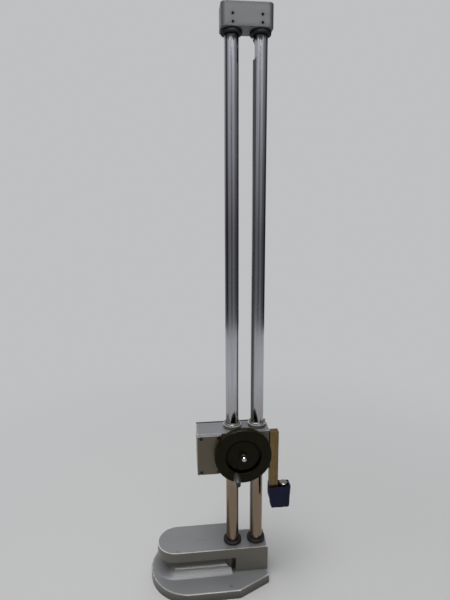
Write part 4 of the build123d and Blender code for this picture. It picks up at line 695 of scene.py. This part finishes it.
def drum_figures(name, body, drums):
    """The ten figures round each drum, as one piece. A drum is its centre and radius."""
    mesh = bmesh.new()
    for centre, radius in drums:
        for digit in range(10):
            flat = figure(str(digit), 0.0031, ink_depth)
            one = bmesh.new()
            one.from_mesh(flat)
            for step in range(-3, 4):  # cuts 0.4 mm apart let it wrap round the drum
                bmesh.ops.bisect_plane(
                    one, geom=one.verts[:] + one.edges[:] + one.faces[:],
                    plane_co=(0, step * 0.0004, 0), plane_no=(0, 1, 0))
            for vert in one.verts:
                turn = vert.co.y / radius + digit * math.tau / 10
                reach = radius + vert.co.z
                vert.co = centre + Vector((
                    -vert.co.x, reach * math.cos(turn), reach * math.sin(turn)))
            one.to_mesh(flat)
            one.free()
            mesh.from_mesh(flat)
            bpy.data.meshes.remove(flat)
    made = new_piece(name, mesh, print_ink, body)


higher_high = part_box("higher_drums")[1]
higher_places = []
for way in ("up", "down"):
    drum_low, drum_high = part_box(way + "_units_drum")
    middle = (drum_low + drum_high) / 2
    radius = (drum_high.z - drum_low.z) / 2
    drum_figures(way + "_units_figures", way + "_units", [(middle, radius)])
    pitch = (higher_high.x - drum_high.x) / 3
    higher_places += [(middle + Vector((pitch * drum, 0, 0)), radius) for drum in (1, 2, 3)]
drum_figures("higher_figures", "slider", higher_places)

# Scriber arm: a bar of tool steel milled to an L, surface ground along its
# length, and screwed to the slider's end. Handling has browned it in patches,
# and the grinding lines are drawn 0.8 mm apart so that they show. Their raised
# lines are painted lighter as a painted highlight.
arm_steel, tree, shader, place = new_material("browned tool steel", Metallic=1.0)
grind = add(tree, "TexNoise", {
    "Vector": add(tree, "Mapping", {"Vector": place, "Scale": (1 / 0.0008, 1 / 0.0008, 1 / 0.03)}),
    "Scale": 1.0, "Detail": 4.0})
patina = add(tree, "TexNoise", {"Vector": place, "Scale": 1 / 0.014, "Detail": 4.0})
brown = add(tree, "MixRGB", {
    "Fac": patina, "Color1": linear("#6A5634"), "Color2": linear("#856F4A")})
grind_highlight = add(tree, "MapRange", {
    "Value": grind, "From Min": 0.5, "From Max": 0.8, "To Max": 0.5})
colour = add(tree, "MixRGB", {"Fac": grind_highlight, "Color1": brown, "Color2": linear("#A09072")})
tree.links.new(colour.outputs[0], shader.inputs["Base Color"])
dulled = add(tree, "MapRange", {"Value": grind, "To Min": 0.28, "To Max": 0.46})
tree.links.new(dulled.outputs[0], shader.inputs["Roughness"])
bump = add(tree, "Bump", {"Height": grind, "Strength": 0.12, "Distance": 0.0001})
tree.links.new(bump.outputs[0], shader.inputs["Normal"])
dress(arm_steel, "scriber_arm", "scriber", "scriber_clamp")

# Clamp screw: a ground screw with a knurled head of 36 ridges. It draws the
# clamp up, which pulls the scriber against the arm's foot.
screw_low, screw_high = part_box("clamp_screw")
screw_centre = (screw_low + screw_high) / 2
head_radius = (screw_high.x - screw_low.x) / 2
mesh = knurled_ring(
    inner=head_radius - 0.0008, outer=head_radius + 0.0002, ridge=0.0006, ridges=36,
    low=screw_high.z - 0.0040, high=screw_high.z - 0.0010)
bmesh.ops.translate(mesh, vec=(screw_centre.x, screw_centre.y, 0), verts=mesh.verts)
clamp_knurl = new_piece("clamp_knurl", mesh, shaft_steel, "clamp_screw")

# Tape: blue crepe masking tape wound once round the foot, the scriber and its
# clamp, to guard the point. It is creased down its length, pinched in under
# the foot and torn off by hand, so its rims are ragged.
tape_crepe, tree, shader, place = new_material(
    "blue crepe tape", Roughness=0.7, IOR=1.45, Specular_IOR_Level=0.2, Sheen_Weight=0.05)
# Crepe paper is matt, with ridges 0.7 mm apart whose tops are painted lighter as
# a painted highlight, and its blue is uneven where it is stretched.
crepe = add(tree, "TexNoise", {
    "Vector": add(tree, "Mapping", {
        "Vector": place, "Scale": (1 / 0.0007, 1 / 0.0007, 1 / 0.006)}),
    "Scale": 1.0, "Detail": 3.0})
stretch = add(tree, "TexNoise", {
    "Vector": add(tree, "Mapping", {"Vector": place, "Scale": (1 / 0.009, 1 / 0.009, 1 / 0.05)}),
    "Scale": 1.0, "Detail": 3.0})
blue = add(tree, "MixRGB", {
    "Fac": stretch, "Color1": linear("#0A0B16"), "Color2": linear("#141A45")})
ridge_highlight = add(tree, "MapRange", {
    "Value": crepe, "From Min": 0.55, "From Max": 0.8, "To Max": 0.35})
colour = add(tree, "MixRGB", {"Fac": ridge_highlight, "Color1": blue, "Color2": linear("#2A346E")})
tree.links.new(colour.outputs[0], shader.inputs["Base Color"])
bump = add(tree, "Bump", {"Height": crepe, "Strength": 0.6, "Distance": 0.0003})
tree.links.new(bump.outputs[0], shader.inputs["Normal"])

wrap_low, wrap_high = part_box("tape_wrap")
wrap_size = wrap_high - wrap_low
wrap_middle = (wrap_low + wrap_high) / 2
mesh = bmesh.new()
bmesh.ops.create_cube(mesh, size=1, matrix=(
    Matrix.Translation(wrap_middle) @ Matrix.Diagonal((wrap_size.x, wrap_size.y, wrap_size.z, 1))))
mesh.normal_update()
bmesh.ops.delete(mesh, geom=[f for f in mesh.faces if abs(f.normal.z) > 0.5], context="FACES")
bmesh.ops.bevel(
    mesh, geom=[e for e in mesh.edges if abs(e.verts[0].co.z - e.verts[1].co.z) > wrap_size.z / 2],
    offset=0.0022, segments=5, profile=0.5, affect="EDGES", material=-1)
for axis, count in ((0, 34), (1, 18), (2, 30)):  # cells about a millimetre across
    normal = Vector((axis == 0, axis == 1, axis == 2))
    for cut in range(1, count):
        bmesh.ops.bisect_plane(
            mesh, geom=mesh.verts[:] + mesh.edges[:] + mesh.faces[:],
            plane_co=wrap_low + wrap_size * (cut / count), plane_no=normal)
mesh.normal_update()
pinch_depth, lean, stand_off = 0.0034, 0.0014, 0.0005
crease_depth, ripple_depth, fold_depth = 0.0006, 0.0002, 0.0005
rag_depth, trim, side_gap = 0.0009, 0.0004, 0.0001
for vert in mesh.verts:
    spot = vert.co.copy()
    down = (wrap_high.z - spot.z) / wrap_size.z
    left = (wrap_high.x - spot.x) / wrap_size.x
    pinch = max(0, min(1, (down - 0.5) / 0.22))
    pinch = pinch * pinch * (3 - 2 * pinch)
    shove = pinch_depth * pinch * left ** 3 - lean * down * (1 - left) ** 2
    crease = noise.noise(Vector((spot.x / 0.0035, spot.y / 0.0035, spot.z / 0.030)))
    ripple = noise.noise(Vector((spot.x / 0.0014, spot.y / 0.0014, spot.z / 0.010)))
    fold = math.exp(-((left - 0.62) / 0.05) ** 2)
    out = stand_off + crease_depth * crease + ripple_depth * ripple - fold_depth * fold
    rag = noise.noise(Vector((spot.x / 0.004, spot.y / 0.004, 5.0)))
    rag = rag * rag_depth * (2 * down - 1) ** 5 - trim * (2 * down - 1)
    vert.co += Vector((shove, 0, rag)) + Vector((vert.normal.x, vert.normal.y, 0)) * out
    # The side next to the base is rubbed flat, and clears it when the slider is down.
    vert.co.x = max(vert.co.x, wrap_low.x + side_gap)
    vert.co.z = max(vert.co.z, wrap_low.z - trim)
tape = new_piece("tape", mesh, tape_crepe, "slider")
thickness = tape.modifiers.new("thickness", "SOLIDIFY")
thickness.thickness = 0.00035
thickness.offset = -1
smooth = tape.modifiers.new("smooth", "SUBSURF")
smooth.levels = smooth.render_levels = 1
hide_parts("tape_wrap")
